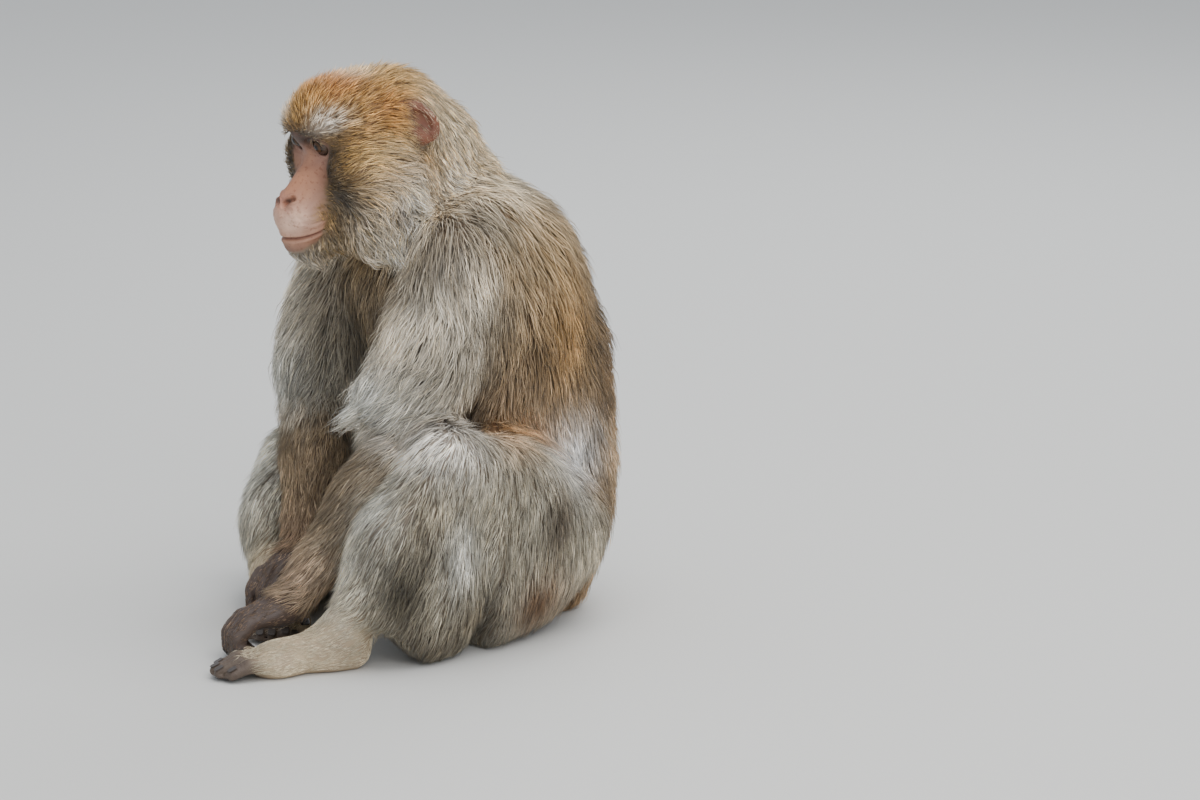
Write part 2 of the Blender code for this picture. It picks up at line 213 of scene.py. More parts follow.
eyeMiddles = {side: middleOf("eye_" + side) for side in sides}
earMiddles = {side: middleOf("ear_" + side) for side in sides}
headPitch = math.radians(18)
eyeLine = eyeMiddles["left"] - eyeMiddles["right"]
eyeSide = float(np.linalg.norm(eyeLine)) * 500  # from the head's middle to an eye's, in millimetres
eyeForward = 3.0  # how far the eyes' middles lie in front of the head's origin
headTurn = math.atan2(eyeLine[1], eyeLine[0])
headTurning = np.array(Matrix.Rotation(headTurn, 3, "Z") @ Matrix.Rotation(headPitch, 3, "X"))
headOrigin = (eyeMiddles["left"] + eyeMiddles["right"]) / 2 + headTurning @ (0, eyeForward / 1000, 0)


def toHead(places):  # side, forward and up in the head's own frame, in millimetres
    local = (places - headOrigin) @ headTurning * 1000
    return local[:, 0], -local[:, 1], local[:, 2]


def bump(spot, middle, sizes):  # 1 at a place on both sides of the head, 0 beyond its sizes
    side, forward, up = spot
    away = (abs(side) - middle[0], forward - middle[1], up - middle[2])
    return np.exp(-sum((part / size) ** 2 for part, size in zip(away, sizes)))


def patch(places, middle, sizes):  # the same at a place on the body, in metres
    return np.exp(-(((places - middle) / sizes) ** 2).sum(axis=1))


def newMaterial(name):
    material = bpy.data.materials.new(name)
    material.use_nodes = True
    return material, material.node_tree.nodes["Principled BSDF"]


def feed(node, inputs):  # joins or sets a node's inputs
    for key, value in inputs.items():
        if hasattr(value, "is_output"):
            node.id_data.links.new(value, node.inputs[key])
        else:
            node.inputs[key].default_value = value


def addNode(tree, kind, inputs, **settings):  # gives the new node's outputs
    node = tree.nodes.new("ShaderNode" + kind)
    for key, value in settings.items():
        setattr(node, key, value)
    feed(node, inputs)
    return node.outputs


def mathNode(tree, operation, *values):
    return addNode(tree, "Math", dict(enumerate(values)), operation=operation)[0]


def multiplied(tree, factor, first, second):  # two colours
    return addNode(tree, "Mix", {0: factor, 6: first, 7: second}, data_type="RGBA", blend_type="MULTIPLY")[2]


def attributeNode(tree, name):
    return addNode(tree, "Attribute", {}, attribute_name=name, attribute_type="GEOMETRY")


def rampNode(tree, value, *stops):  # each stop is a position and a colour
    node = tree.nodes.new("ShaderNodeValToRGB")
    feed(node, {"Fac": value})
    for index, (position, colour) in enumerate(stops):
        stop = node.color_ramp.elements[index] if index < 2 else node.color_ramp.elements.new(position)
        stop.position = position
        stop.color = (*colour, 1)
    return node.outputs["Color"]


def nodeGroup(name, inputs, outputs):  # a socket is a label, its kind and perhaps a first value
    group = bpy.data.node_groups.new(name, "ShaderNodeTree")
    for way, sockets in (("INPUT", inputs), ("OUTPUT", outputs)):
        for label, kind, *first in sockets:
            socket = group.interface.new_socket(label, in_out=way, socket_type="NodeSocket" + kind)
            if first:
                socket.default_value = first[0]
    return group, group.nodes.new("NodeGroupInput").outputs, group.nodes.new("NodeGroupOutput")


def makeMottleGroup():  # soft light and dark by place, for skin, horn and iris
    group, given, made = nodeGroup(
        "mottle",
        (("Place", "Vector"), ("Scale", "Float", 60), ("Detail", "Float", 3), ("Low", "Float", 0.8),
         ("High", "Float", 1.1)),
        (("Cloud", "Float"), ("Shade", "Float")),
    )
    noise = {"Vector": given["Place"], "Scale": given["Scale"], "Detail": given["Detail"]}
    cloud = addNode(group, "TexNoise", noise)["Fac"]
    levels = {"From Min": 0.3, "From Max": 0.7, "To Min": given["Low"], "To Max": given["High"]}
    feed(made, {"Cloud": cloud, "Shade": addNode(group, "MapRange", {"Value": cloud, **levels})["Result"]})
    return group


mottleGroup = makeMottleGroup()


def mottleNode(tree, scale, detail, low, high):
    inputs = {"Scale": scale, "Detail": detail, "Low": low, "High": high}
    inputs["Place"] = addNode(tree, "TexCoord", {})["Object"]
    return addNode(tree, "Group", inputs, node_tree=mottleGroup)


stageLooks = {"azimuth": 60, "elevation": 13, "distance": 7.0, "width": 1.14, "target": (0.123, 0.178, 0.219)}
lamps = {
    # name: place, size, power, colour
    "overhead_light": ((0.6, 0.5, 2.6), 2.4, 56, (1.0, 0.97, 0.93)),
    "side_light": ((2.6, -0.6, 1.5), 1.8, 34, (1.0, 0.98, 0.96)),
    "rim_light": ((-1.6, 1.9, 1.9), 1.4, 26, (0.96, 0.98, 1.0)),
}


def makeStage():
    turn = math.radians(stageLooks["azimuth"])
    rise = math.radians(stageLooks["elevation"])
    back = Vector((math.sin(turn) * math.cos(rise), -math.cos(turn) * math.cos(rise), math.sin(rise)))
    bpy.ops.object.camera_add()
    camera = bpy.context.object
    camera.name = "camera"
    camera.location = Vector(stageLooks["target"]) + back * stageLooks["distance"]
    camera.rotation_euler = (-back).to_track_quat("-Z", "Y").to_euler()
    camera.data.sensor_width = 36
    camera.data.lens = 36 * stageLooks["distance"] / stageLooks["width"]
    camera.data.clip_end = 60
    bpy.context.scene.camera = camera

    bpy.ops.mesh.primitive_plane_add(size=16, location=(0, 0, 0))
    floor = bpy.context.object
    floor.name = "floor"
    paint, shader = newMaterial("floor_paint")
    feed(shader, {"Base Color": (0.66, 0.66, 0.64, 1), "Roughness": 0.9})
    floor.data.materials.append(paint)

    world = bpy.data.worlds.new("studio")
    bpy.context.scene.world = world
    world.use_nodes = True
    feed(world.node_tree.nodes["Background"], {"Color": (0.80, 0.84, 0.90, 1), "Strength": 0.85})
    for name, (place, size, power, colour) in lamps.items():
        bpy.ops.object.light_add(type="AREA", location=place)
        lamp = bpy.context.object
        lamp.name = name
        lamp.data.size = size
        lamp.data.energy = power
        lamp.data.color = colour
        lamp.rotation_euler = (Vector((0, 0, 0.25)) - Vector(place)).to_track_quat("-Z", "Y").to_euler()


makeStage()
report("stage")

skinLooks = {  # metres, rounds and triangles; under a coat deeper than deep the skin is held down
    "voxel": 0.0024, "swell": 0.0012, "deep": 0.003, "pushes": 6, "settlings": 4, "unfoldings": 3,
    "furredTriangles": 28000,
}

# how deep the coat lies over the skin, how long and wide its tufts are in millimetres,
# how many stand in a square centimetre and how far they gather in locks
coatColumns = ("depth", "length", "width", "crowding", "gathering")
coatLooks = {
    "head": (9, 18, 0.66, 31, 0.30),
    "neck": (18, 46, 0.9, 24, 0.55),
    "chest": (18, 46, 0.92, 10, 0.50),
    "loins": (15, 40, 0.92, 17, 0.45),
    "rump": (11, 30, 0.92, 16, 0.40),
    "tail_stub": (4, 14, 0.9, 30, 0.30),
    "ear": (0, 10, 0.45, 34, 0.10),
    "upper_arm": (16, 46, 0.92, 21, 0.55),
    "forearm": (8, 25, 0.8, 24, 0.40),
    "hand": (0.6, 7, 0.5, 14, 0.10),
    "thigh": (10, 27, 0.86, 14, 0.35),
    "shin": (8, 23, 0.86, 17, 0.35),
    "foot": (1.3, 12, 0.5, 22, 0.15),
}
partNames = sorted(coatLooks)
floorClear = 0.0015  # what lies lower than this rests on the floor


def shareOf(shares, *names):
    return sum(shares[:, partNames.index(name)] for name in names)


def belongs(owners, *names):
    return np.isin(owners, [partNames.index(name) for name in names])


def byPart(shares, column):  # a column of coatLooks, softly from part to part
    return shares @ np.array([coatLooks[name][coatColumns.index(column)] for name in partNames])


def mergedFlesh():
    whole = bmesh.new()
    scratch = bpy.data.meshes.new("scratch")
    for name in fleshNames:
        one = bmesh.new()
        one.from_mesh(nodes[name].data)
        bmesh.ops.remove_doubles(one, verts=one.verts, dist=0.00001)
        one.normal_update()
        for vertex in one.verts:
            vertex.co += vertex.normal * skinLooks["swell"]
        one.to_mesh(scratch)
        one.free()
        whole.from_mesh(scratch)
    mesh = bpy.data.meshes.new("skin")
    whole.to_mesh(mesh)
    whole.free()
    return mesh


def keepOuter():  # drops the shells that the remesh leaves inside
    places = positionsOf(skin.data)
    selectOnly(skin)
    selectVertices(skin.data, np.arange(len(places)) == places[:, 2].argmax())
    switchMode("EDIT")
    bpy.ops.mesh.select_linked()
    bpy.ops.mesh.select_all(action="INVERT")
    bpy.ops.mesh.delete(type="VERT")
    switchMode("OBJECT")


triangleSpots = (  # places in a triangle, as shares of its second and third corner
    (0.33, 0.33), (0.1, 0.1), (0.8, 0.1), (0.1, 0.8), (0.45, 0.1), (0.1, 0.45), (0.45, 0.45),
)


def surfaceSamples():  # points all over the solids, with the part that each belongs to
    places = []
    owners = []
    for name in fleshNames:
        mesh = nodes[name].data
        points = positionsOf(mesh)[trianglesOf(mesh)]
        part = name.removesuffix("_left").removesuffix("_right")
        for a, b in triangleSpots:
            places.append(points[:, 0] * (1 - a - b) + points[:, 1] * a + points[:, 2] * b)
            owners += [partNames.index(part)] * len(points)
    return np.concatenate(places), np.array(owners)


samplePlaces, sampleOwners = surfaceSamples()
sampleTree = treeOf(samplePlaces)
report("%d samples" % len(samplePlaces))


def ownersOf(places):
    return sampleOwners[nearest(sampleTree, places)]


def partShares(mesh, rounds):  # how much each vertex belongs to each part, softly
    owners = ownersOf(positionsOf(mesh))
    shares = (owners[:, None] == np.arange(len(partNames))).astype(float)
    return evened(shares, edgesOf(mesh), rounds)


faceEdge = {  # the bare face: half its width, and how far forward it starts, at each height
    "up": (-100, -90, -78, -60, -40, -20, 0, 9, 15),
    "half": (2, 12, 26, 28, 27, 29, 33, 30, 4),
    "forward": (50, 42, 32, 27, 21, 9, -4, -4, 0),
}


def faceInside(places):  # millimetres inside the edge of the bare face
    side, forward, up = toHead(places)
    half = np.interp(up, faceEdge["up"], faceEdge["half"])
    start = np.interp(up, faceEdge["up"], faceEdge["forward"])
    return np.minimum.reduce((half - abs(side), forward - start, 15 - up, up + 89))


def coatDepths(places, shares):
    spot = side, forward, up = toHead(places)
    head = shareOf(shares, "head")
    ruff = bump(spot, (60, -22, -72), (34, 50, 48))
    crown = bump(spot, (0, -66, 50), (50, 50, 28))
    depths = byPart(shares, "depth") + head * (11 * ruff + 4 * crown)
    outside = -faceInside(places)
    near = np.clip(outside / (26 - 16 * stepBetween(8, 18, up)), 0, 1)  # the brow overhangs the face
    depths = depths * (1 - head * (1 - near))
    depths = depths * (0.35 + 0.65 * stepBetween(0.016, 0.040, distanceTo(places, earMiddles.values())))
    return depths * (0.2 + 0.8 * stepBetween(0.002, 0.030, places[:, 2]))  # pressed flat against the floor


skin = newObject("skin", mergedFlesh())
applyModifier(skin, "REMESH", mode="VOXEL", voxel_size=skinLooks["voxel"])
keepOuter()
applyModifier(skin, "SMOOTH", factor=0.5, iterations=4)
report("skin remeshed, %d vertices" % len(skin.data.vertices))


def settle(places, rounds, share):  # moves the skin there, and evens it where share is 1
    setPositions(skin.data, mixed(places, evened(places, edgesOf(skin.data), rounds), share))


def flattenFolds(outer, outerNormals, outerTree, depths):  # draws flat what the pushes folded over
    ends = edgesOf(skin.data)
    for _ in range(skinLooks["unfoldings"]):
        places = positionsOf(skin.data)
        close = nearest(outerTree, places)
        rise = ((places - outer[close]) * outerNormals[close]).sum(axis=1)
        facing = (normalsOf(skin.data) * outerNormals[close]).sum(axis=1)
        folded = (depths > skinLooks["deep"]) & ((rise > -0.3 * depths) | (facing < 0.1))
        folded = evened(folded.astype(float), ends, 12) > 0.03
        near = ends[folded[ends[:, 0]] | folded[ends[:, 1]]]
        for _ in range(160):
            places[folded] = evened(places, near, 1, 0.9)[folded]
        setPositions(skin.data, places)


def sinkSkin():  # pushes the skin in under the coat, then keeps it that deep all over
    ends = edgesOf(skin.data)
    outer = positionsOf(skin.data)
    depths = evened(coatDepths(outer, partShares(skin.data, 0)), ends, 24) / 1000
    outer = outer[::2]  # every second vertex is close enough
    outerNormals = normalsOf(skin.data)[::2]
    outerTree = treeOf(outer)
    furred = stepBetween(0.001, 0.005, depths)
    for _ in range(skinLooks["pushes"]):
        inward = unit(evened(normalsOf(skin.data), ends, 1)) * depths[:, None]
        settle(positionsOf(skin.data) - inward / skinLooks["pushes"], 3, furred)
    deep = np.flatnonzero(depths > skinLooks["deep"])
    for _ in range(skinLooks["settlings"]):
        places = positionsOf(skin.data)
        away = places[deep] - outer[nearest(outerTree, places[deep])]
        reach = np.linalg.norm(away, axis=1)
        short = np.clip(depths[deep] - reach, 0, 0.02) * 0.7
        places[deep] += away / np.maximum(reach, 1e-6)[:, None] * short[:, None]
        settle(places, 8, furred)
    flattenFolds(outer, outerNormals, outerTree, depths)
    bare = normalsOf(skin.data) * (1 - furred)[:, None]
    setPositions(skin.data, positionsOf(skin.data) - bare * skinLooks["swell"])


sinkSkin()
report("skin sunk")

mouthLine = {"side": (0, 8, 16, 24, 30, 34), "up": (-75.5, -76, -77, -78.5, -79.5, -80)}


def mouthHeight(side):
    return np.interp(abs(side), mouthLine["side"], mouthLine["up"])


def refine(chosen):  # splits the faces whose vertices are all chosen
    selectOnly(skin)
    selectVertices(skin.data, chosen)
    switchMode("EDIT")
    bpy.ops.mesh.select_mode(type="VERT")
    bpy.ops.mesh.subdivide(number_cuts=1)
    switchMode("OBJECT")


def refineFace():  # and the ears, with the finest mesh at the eyes, nose and mouth
    places = positionsOf(skin.data)
    chosen = faceInside(places) > -5
    for side in sides:
        low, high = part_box("ear_" + side)
        chosen |= np.all((places > np.array(low) - 0.002) & (places < np.array(high) + 0.002), axis=1)
    refine(chosen)
    places = positionsOf(skin.data)
    settle(places, 3, stepBetween(-4, 2, faceInside(places)))
    side, forward, up = toHead(positionsOf(skin.data))
    eyes = (np.hypot(abs(side) - eyeSide, up) < 19) & (forward > -9)
    nose = (abs(side) < 17) & (forward > 42) & (up > -52) & (up < -26)
    mouth = (abs(up - mouthHeight(side)) < 7) & (forward > 30) & (abs(side) < 34)
    refine(eyes | nose | mouth)


faceLooks = {  # in millimetres, and the lids' tilt in degrees
    "eyeRadius": 10.0, "lidThickness": 1.3, "openHalfWidth": 9.2, "upperLid": 1.0, "lowerLid": 2.6,
    "lidTilt": 9, "nostrilInner": (4.8, 54.5, -43.0), "nostrilOuter": (11.0, 47.0, -39.5),
    "nostrilDepth": 5.5, "mouthDepth": 2.6,
}


def sculptFace():  # lids, nostrils, lips and folds
    places = positionsOf(skin.data)
    side, forward, up = toHead(places)
    face = np.flatnonzero((forward > -12) & (abs(side) < 44) & (up > -105) & (up < 34))
    across, ahead, high = abs(side[face]), forward[face], up[face]
    hand = np.sign(side[face])
    normals = normalsOf(skin.data)[face] @ headTurning * (1, -1, 1)
    normals[:, 0] *= hand

    # lids close over the eyeball and leave an almond open
    tilt = math.radians(faceLooks["lidTilt"])
    x = across - eyeSide
    z = high
    along = x * math.cos(tilt) + z * math.sin(tilt)
    height = z * math.cos(tilt) - x * math.sin(tilt)
    arch = np.clip(1 - (along / faceLooks["openHalfWidth"]) ** 2, 0, 1)
    gape = np.minimum(faceLooks["upperLid"] * arch ** 0.8 - height, height + faceLooks["lowerLid"] * arch)
    gape = np.where(arch > 0, gape, -2)
    out = ahead - eyeForward
    reach = np.sqrt(x * x + out * out + z * z)
    lids = faceLooks["eyeRadius"] + faceLooks["lidThickness"] + 0.5 * bell(gape + 1.0, 0.9)
    wanted = mixed(lids, faceLooks["eyeRadius"] - 2.6, stepBetween(-0.3, 0.7, gape))
    hold = (1 - stepBetween(9.5, 16, np.sqrt(x * x + z * z))) * (out > -3)
    scale = 1 + (wanted / np.maximum(reach, 1) - 1) * hold
    ahead = eyeForward + out * scale
    across = eyeSide + x * scale
    high = z * scale

    def press(amount):  # along the surface's own normal
        nonlocal across, ahead, high
        across = across + normals[:, 0] * amount
        ahead = ahead + normals[:, 1] * amount
        high = high + normals[:, 2] * amount

    around = np.hypot((across - eyeSide) / 1.18, high)
    crease = bell(around - 9.8, 1.0) * (high > 0) * 1.1
    bag = (bell(around - 9.6, 1.0) * 0.8 + bell(around - 13.6, 1.2) * 0.9) * (high <= 0)
    press(-(crease + bag) * (abs(across - eyeSide) < 12))

    # nostrils
    inner = np.array(faceLooks["nostrilInner"])
    outer = np.array(faceLooks["nostrilOuter"])
    slit = np.full(len(face), 99.0)
    for share in np.linspace(0, 1, 7):
        hole = mixed(inner, outer, share)
        away = (across - hole[0]) ** 2 + (ahead - hole[1]) ** 2 + (high - hole[2]) ** 2
        slit = np.minimum(slit, np.sqrt(away))
    press(-faceLooks["nostrilDepth"] * bell(slit, 2.9, 4) + 0.8 * bell(slit - 4.6, 1.3))
    bridge = bell(across, 2.2) * stepBetween(44, 52, ahead) * stepBetween(-50, -44, high)
    press(-0.5 * bridge * (high < -38))

    # lips
    lip = high - mouthHeight(across)
    mouthShare = stepBetween(26, 34, ahead) * (1 - stepBetween(28, 33, across))
    press(-faceLooks["mouthDepth"] * bell(lip, 1.15) * mouthShare)
    press((0.9 * bell(lip - 3.4, 1.7) + 1.2 * bell(lip + 3.6, 1.9)) * mouthShare)

    # folds from the nose to the corner of the mouth, and across the muzzle
    foldX = 13 + (-34 - high) * 0.42
    fold = bell(across - foldX, 1.6) * stepBetween(-74, -66, high) * (1 - stepBetween(-38, -30, high))
    press(-0.9 * fold * (ahead > 15))
    ripple = 0.22 * np.sin(high * 1.35 + across * 0.5 + np.sin(across * 0.9) * 0.8)
    ripple = ripple * stepBetween(6, 14, across) * stepBetween(-70, -60, high)
    press(ripple * (1 - stepBetween(-30, -20, high)))

    local = np.stack((across * hand, -ahead, high), axis=1) / 1000
    places[face] = headOrigin + local @ headTurning.T
    setPositions(skin.data, places)


earLooks = {"halfWidth": 15.5, "halfHeight": 25, "tilt": -12, "hollow": 2.6, "rim": 1.5, "ridge": 1.3}


def sculptEars():  # a rolled rim round a hollow
    places = positionsOf(skin.data)
    normals = normalsOf(skin.data)
    tilt = math.radians(earLooks["tilt"])
    for side, sign in sides.items():
        local = (places - earMiddles[side]) @ headTurning * 1000
        back = local[:, 1] * math.cos(tilt) - local[:, 2] * math.sin(tilt)
        rise = local[:, 1] * math.sin(tilt) + local[:, 2] * math.cos(tilt)
        ring = np.hypot(back / earLooks["halfWidth"], rise / earLooks["halfHeight"])
        facing = (normals @ headTurning)[:, 0] * sign
        outer = stepBetween(0.05, 0.4, facing) * (ring < 1.3) * (abs(local[:, 0]) < 16)
        hollow = bell(ring, 0.62, 4) * -earLooks["hollow"]
        rim = bell(ring - 0.92, 0.13) * earLooks["rim"]
        ridge = bell(ring - 0.55, 0.12) * (back > 0) * earLooks["ridge"]
        places += normals * ((hollow + rim + ridge) * outer)[:, None] / 1000
    setPositions(skin.data, places)


digitLooks = {  # the heels and wrists in metres, each one's turn in degrees, and its side
    "foot_left": ((0.1471, -0.1030, 0.0), -10, 1),
    "foot_right": ((-0.0769, -0.0650, 0.0), 58, -1),
    "hand_left": ((0.0871, -0.1350, 0.054), -14, 1),
    "hand_right": ((-0.0049, -0.0730, 0.074), 24, -1),
}
toeReach = (130, 139, 140, 133)  # millimetres from the heel, outermost toe first
firstDigit = 18  # how far out the outermost toe and finger lie, in millimetres
toePitch = 11.5
fingerPitch = 12
clefts = (0.5, 1.5, 2.5)  # between the digits


def digitFrame(name):
    place, turn, sign = digitLooks[name]
    return np.array(place), np.array(Matrix.Rotation(math.radians(turn), 3, "Z")), sign


def toLimbEnd(name, places):  # outward, forward and up from the heel or wrist, in millimetres
    place, turning, sign = digitFrame(name)
    local = (places - place) @ turning * 1000
    return local[:, 0] * sign, -local[:, 1], local[:, 2]


def nearLimbEnd(name, places):
    across, ahead, up = toLimbEnd(name, places)
    reach, high = (150, 40) if name.startswith("foot") else (75, 30)
    return (ahead > -20) & (ahead < reach) & (abs(across) < 50) & (up < high) & (up > -80)


def onDigits(places):
    chosen = np.zeros(len(places), bool)
    for name in digitLooks:
        ahead = toLimbEnd(name, places)[1]
        chosen |= nearLimbEnd(name, places) & (ahead > (84 if name.startswith("foot") else 32))
    return chosen


def refineDigits():
    places = positionsOf(skin.data)
    bare = belongs(ownersOf(places), "hand", "foot") & (places[:, 2] > floorClear)
    settle(places, 9, evened(bare.astype(float), edgesOf(skin.data), 2))
    refine(onDigits(positionsOf(skin.data)) & bare)
    places = positionsOf(skin.data)
    settle(places, 3, (onDigits(places) & (places[:, 2] > floorClear)).astype(float))


def sculptDigits():  # clefts between the fingers and toes, knuckles, and creases over the joints
    for name in digitLooks:
        places = positionsOf(skin.data)
        normals = normalsOf(skin.data)
        across, ahead, up = toLimbEnd(name, places)
        near = nearLimbEnd(name, places)
        press = np.zeros(len(places))
        if name.startswith("foot"):
            outer = stepBetween(-0.5, 0.0, normals[:, 2]) * near * (places[:, 2] > 0.002)
            spread = 0.8 + 0.2 * stepBetween(87, 108, ahead)
            for gap in clefts:
                middle = (firstDigit - toePitch * gap) * spread
                press -= 3.0 * bell(across - middle, 1.7) * stepBetween(92, 100, ahead)
            for index, reach in enumerate(toeReach):
                toe = bell(across - (firstDigit - toePitch * index) * spread, 4.6, 4)
                for crease in (14, 17, 31, 34):
                    press -= 0.55 * toe * bell(ahead - reach + crease, 0.9)
                press += 0.9 * toe * bell(ahead - reach + 26, 5)
        else:
            facing = -(normals @ digitFrame(name)[1])[:, 1]
            outer = np.maximum(stepBetween(-0.3, 0.1, normals[:, 2]), stepBetween(-0.2, 0.2, facing)) * near
            for gap in clefts:
                middle = firstDigit - fingerPitch * gap
                press -= 3.2 * bell(across - middle, 1.8) * stepBetween(36, 44, ahead)
                press -= 0.8 * bell(across - middle * 0.8, 2.6) * stepBetween(8, 30, ahead)
            for index in range(4):
                finger = bell(across - firstDigit + fingerPitch * index, 4.8, 4)
                press += 1.3 * finger * np.exp(-((ahead - 46) / 5) ** 2 - ((up + 8) / 6) ** 2)
                for height in (-19, -22, -25, -35, -38):
                    press -= 0.5 * finger * bell(up - height, 0.8) * stepBetween(44, 50, ahead)
        places += normals * (press * outer)[:, None] / 1000
        setPositions(skin.data, places)


def thinSkin():  # fewer faces where the coat hides the skin
    places = positionsOf(skin.data)
    fine = belongs(ownersOf(places), "hand", "foot", "ear") | (faceInside(places) > -6)
    furred = evened((~fine).astype(float), edgesOf(skin.data), 3) > 0.5
    triangles = trianglesOf(skin.data)
    total = len(triangles)
    hidden = furred[triangles].all(axis=1).sum()
    skin.vertex_groups.new(name="furred").add(np.flatnonzero(furred).tolist(), 1.0, "REPLACE")
    ratio = (total - hidden + skinLooks["furredTriangles"]) / total
    applyModifier(skin, "DECIMATE", ratio=ratio, vertex_group="furred")
    skin.vertex_groups.clear()


refineFace()
report("face refined, %d vertices" % len(skin.data.vertices))
sculptFace()
sculptEars()
refineDigits()
sculptDigits()
report("face, ears and digits sculpted")
thinSkin()
report("skin thinned, %d triangles" % len(trianglesOf(skin.data)))


coatTones = {
    "head": (184, 146, 84), "ear": (176, 140, 104), "neck": (208, 192, 164), "chest": (140, 122, 96),
    "loins": (190, 158, 116), "rump": (184, 156, 120), "tail_stub": (176, 142, 100),
    "upper_arm": (214, 202, 180), "forearm": (150, 130, 102), "hand": (120, 98, 78),
    "thigh": (190, 180, 158), "shin": (182, 172, 150), "foot": (244, 226, 190),
}
trunkMarks = (
    # how far out, back and up in millimetres, sizes, tone, strength: the same on both sides
    ("gold back", (100, 110, 384), (60, 50, 50), (228, 196, 148), 0.6),
    ("gold lower back", (110, 130, 310), (60, 40, 60), (204, 160, 102), 0.75),
    ("brown flank", (129, 79, 254), (50, 50, 32), (180, 152, 120), 0.6),
    ("grey flank", (112, 46, 235), (50, 30, 25), (164, 146, 122), 0.6),
    # the hip: partly the coat's own pale patch, partly a painted highlight, white at full strength
    ("pale hip, partly painted highlight", (108, 150, 188), (60, 40, 40), (255, 254, 250), 1.0),
    ("tan strip", (120, 82, 208), (50, 48, 18), (222, 172, 118), 0.85),
    ("grey haunch edge", (90, 180, 130), (50, 30, 30), (140, 122, 98), 0.6),
    ("dark spine", (0, 225, 300), (60, 40, 120), (108, 86, 62), 0.88),
    ("dark back edge", (86, 195, 285), (46, 30, 80), (92, 72, 50), 0.95),
    ("pale behind ruff", (66, 34, 418), (40, 40, 26), (240, 226, 200), 0.9),
    ("dark shoulder spot", (115, 2, 385), (26, 22, 12), (124, 106, 86), 0.7),
    ("pale nape", (0, 85, 440), (70, 50, 36), (236, 222, 194), 0.8),
    ("pale mantle front", (113, -18, 348), (30, 30, 35), (244, 232, 210), 0.8),
    ("grey mantle low", (141, -13, 296), (30, 35, 30), (160, 150, 132), 0.8),
    ("dark chest", (0, -80, 300), (70, 50, 90), (76, 68, 50), 0.9),
    ("pale elbow", (100, -67, 258), (55, 52, 34), (242, 240, 228), 0.95),
    # painted shade under the elbow fringe, where the hanging hair shadows the arm
    ("painted shade under the elbow", (120, -30, 222), (40, 40, 16), (122, 102, 80), 0.7),
    ("brown seat", (60, 130, 35), (60, 60, 36), (140, 100, 64), 0.8),
)
limbMarks = (
    # place in millimetres, sizes, tone, strength
    ("pale knee", (183, -29, 217), (50, 46, 30), (242, 236, 224), 0.9),
    ("pale shin", (165, -78, 165), (34, 20, 46), (252, 248, 232), 0.92),
    ("pale shin", (155, -106, 112), (34, 18, 42), (226, 220, 202), 0.85),
    ("pale shin", (152, -120, 66), (34, 17, 34), (224, 214, 190), 0.85),
    ("grey calf", (200, -50, 150), (30, 28, 40), (146, 134, 112), 0.7),
    # dark calf: painted shadow in the crease between the shin and the thigh
    ("dark calf", (200, -72, 82), (34, 25, 48), (78, 70, 52), 0.95),
    ("dark calf edge", (190, -40, 22), (44, 60, 22), (92, 80, 62), 0.8),
    ("pale thigh", (200, -9, 114), (34, 22, 34), (250, 246, 232), 0.97),
    ("dark low thigh", (184, 14, 50), (34, 30, 24), (104, 92, 72), 0.85),
    ("dark haunch", (180, 107, 132), (44, 22, 36), (104, 86, 64), 0.85),
    ("brown haunch", (172, 92, 52), (44, 34, 30), (126, 88, 54), 0.92),
    ("dark far armpit", (-28, -45, 290), (30, 50, 70), (84, 76, 56), 0.85),
    ("pale far knee", (-165, -40, 110), (70, 70, 70), (246, 242, 226), 0.9),
    ("dark far thigh", (-150, 70, 40), (60, 60, 28), (128, 110, 84), 0.7),
    ("dark far haunch", (-150, 107, 125), (44, 24, 36), (108, 88, 66), 0.7),
    ("tan near wrist", (100, -128, 85), (30, 36, 30), (196, 168, 140), 0.75),
    ("tan far wrist", (-4, -89, 98), (36, 36, 40), (190, 160, 132), 0.75),
    ("tan far arm", (-15, -56, 170), (40, 36, 40), (168, 144, 116), 0.5),
)
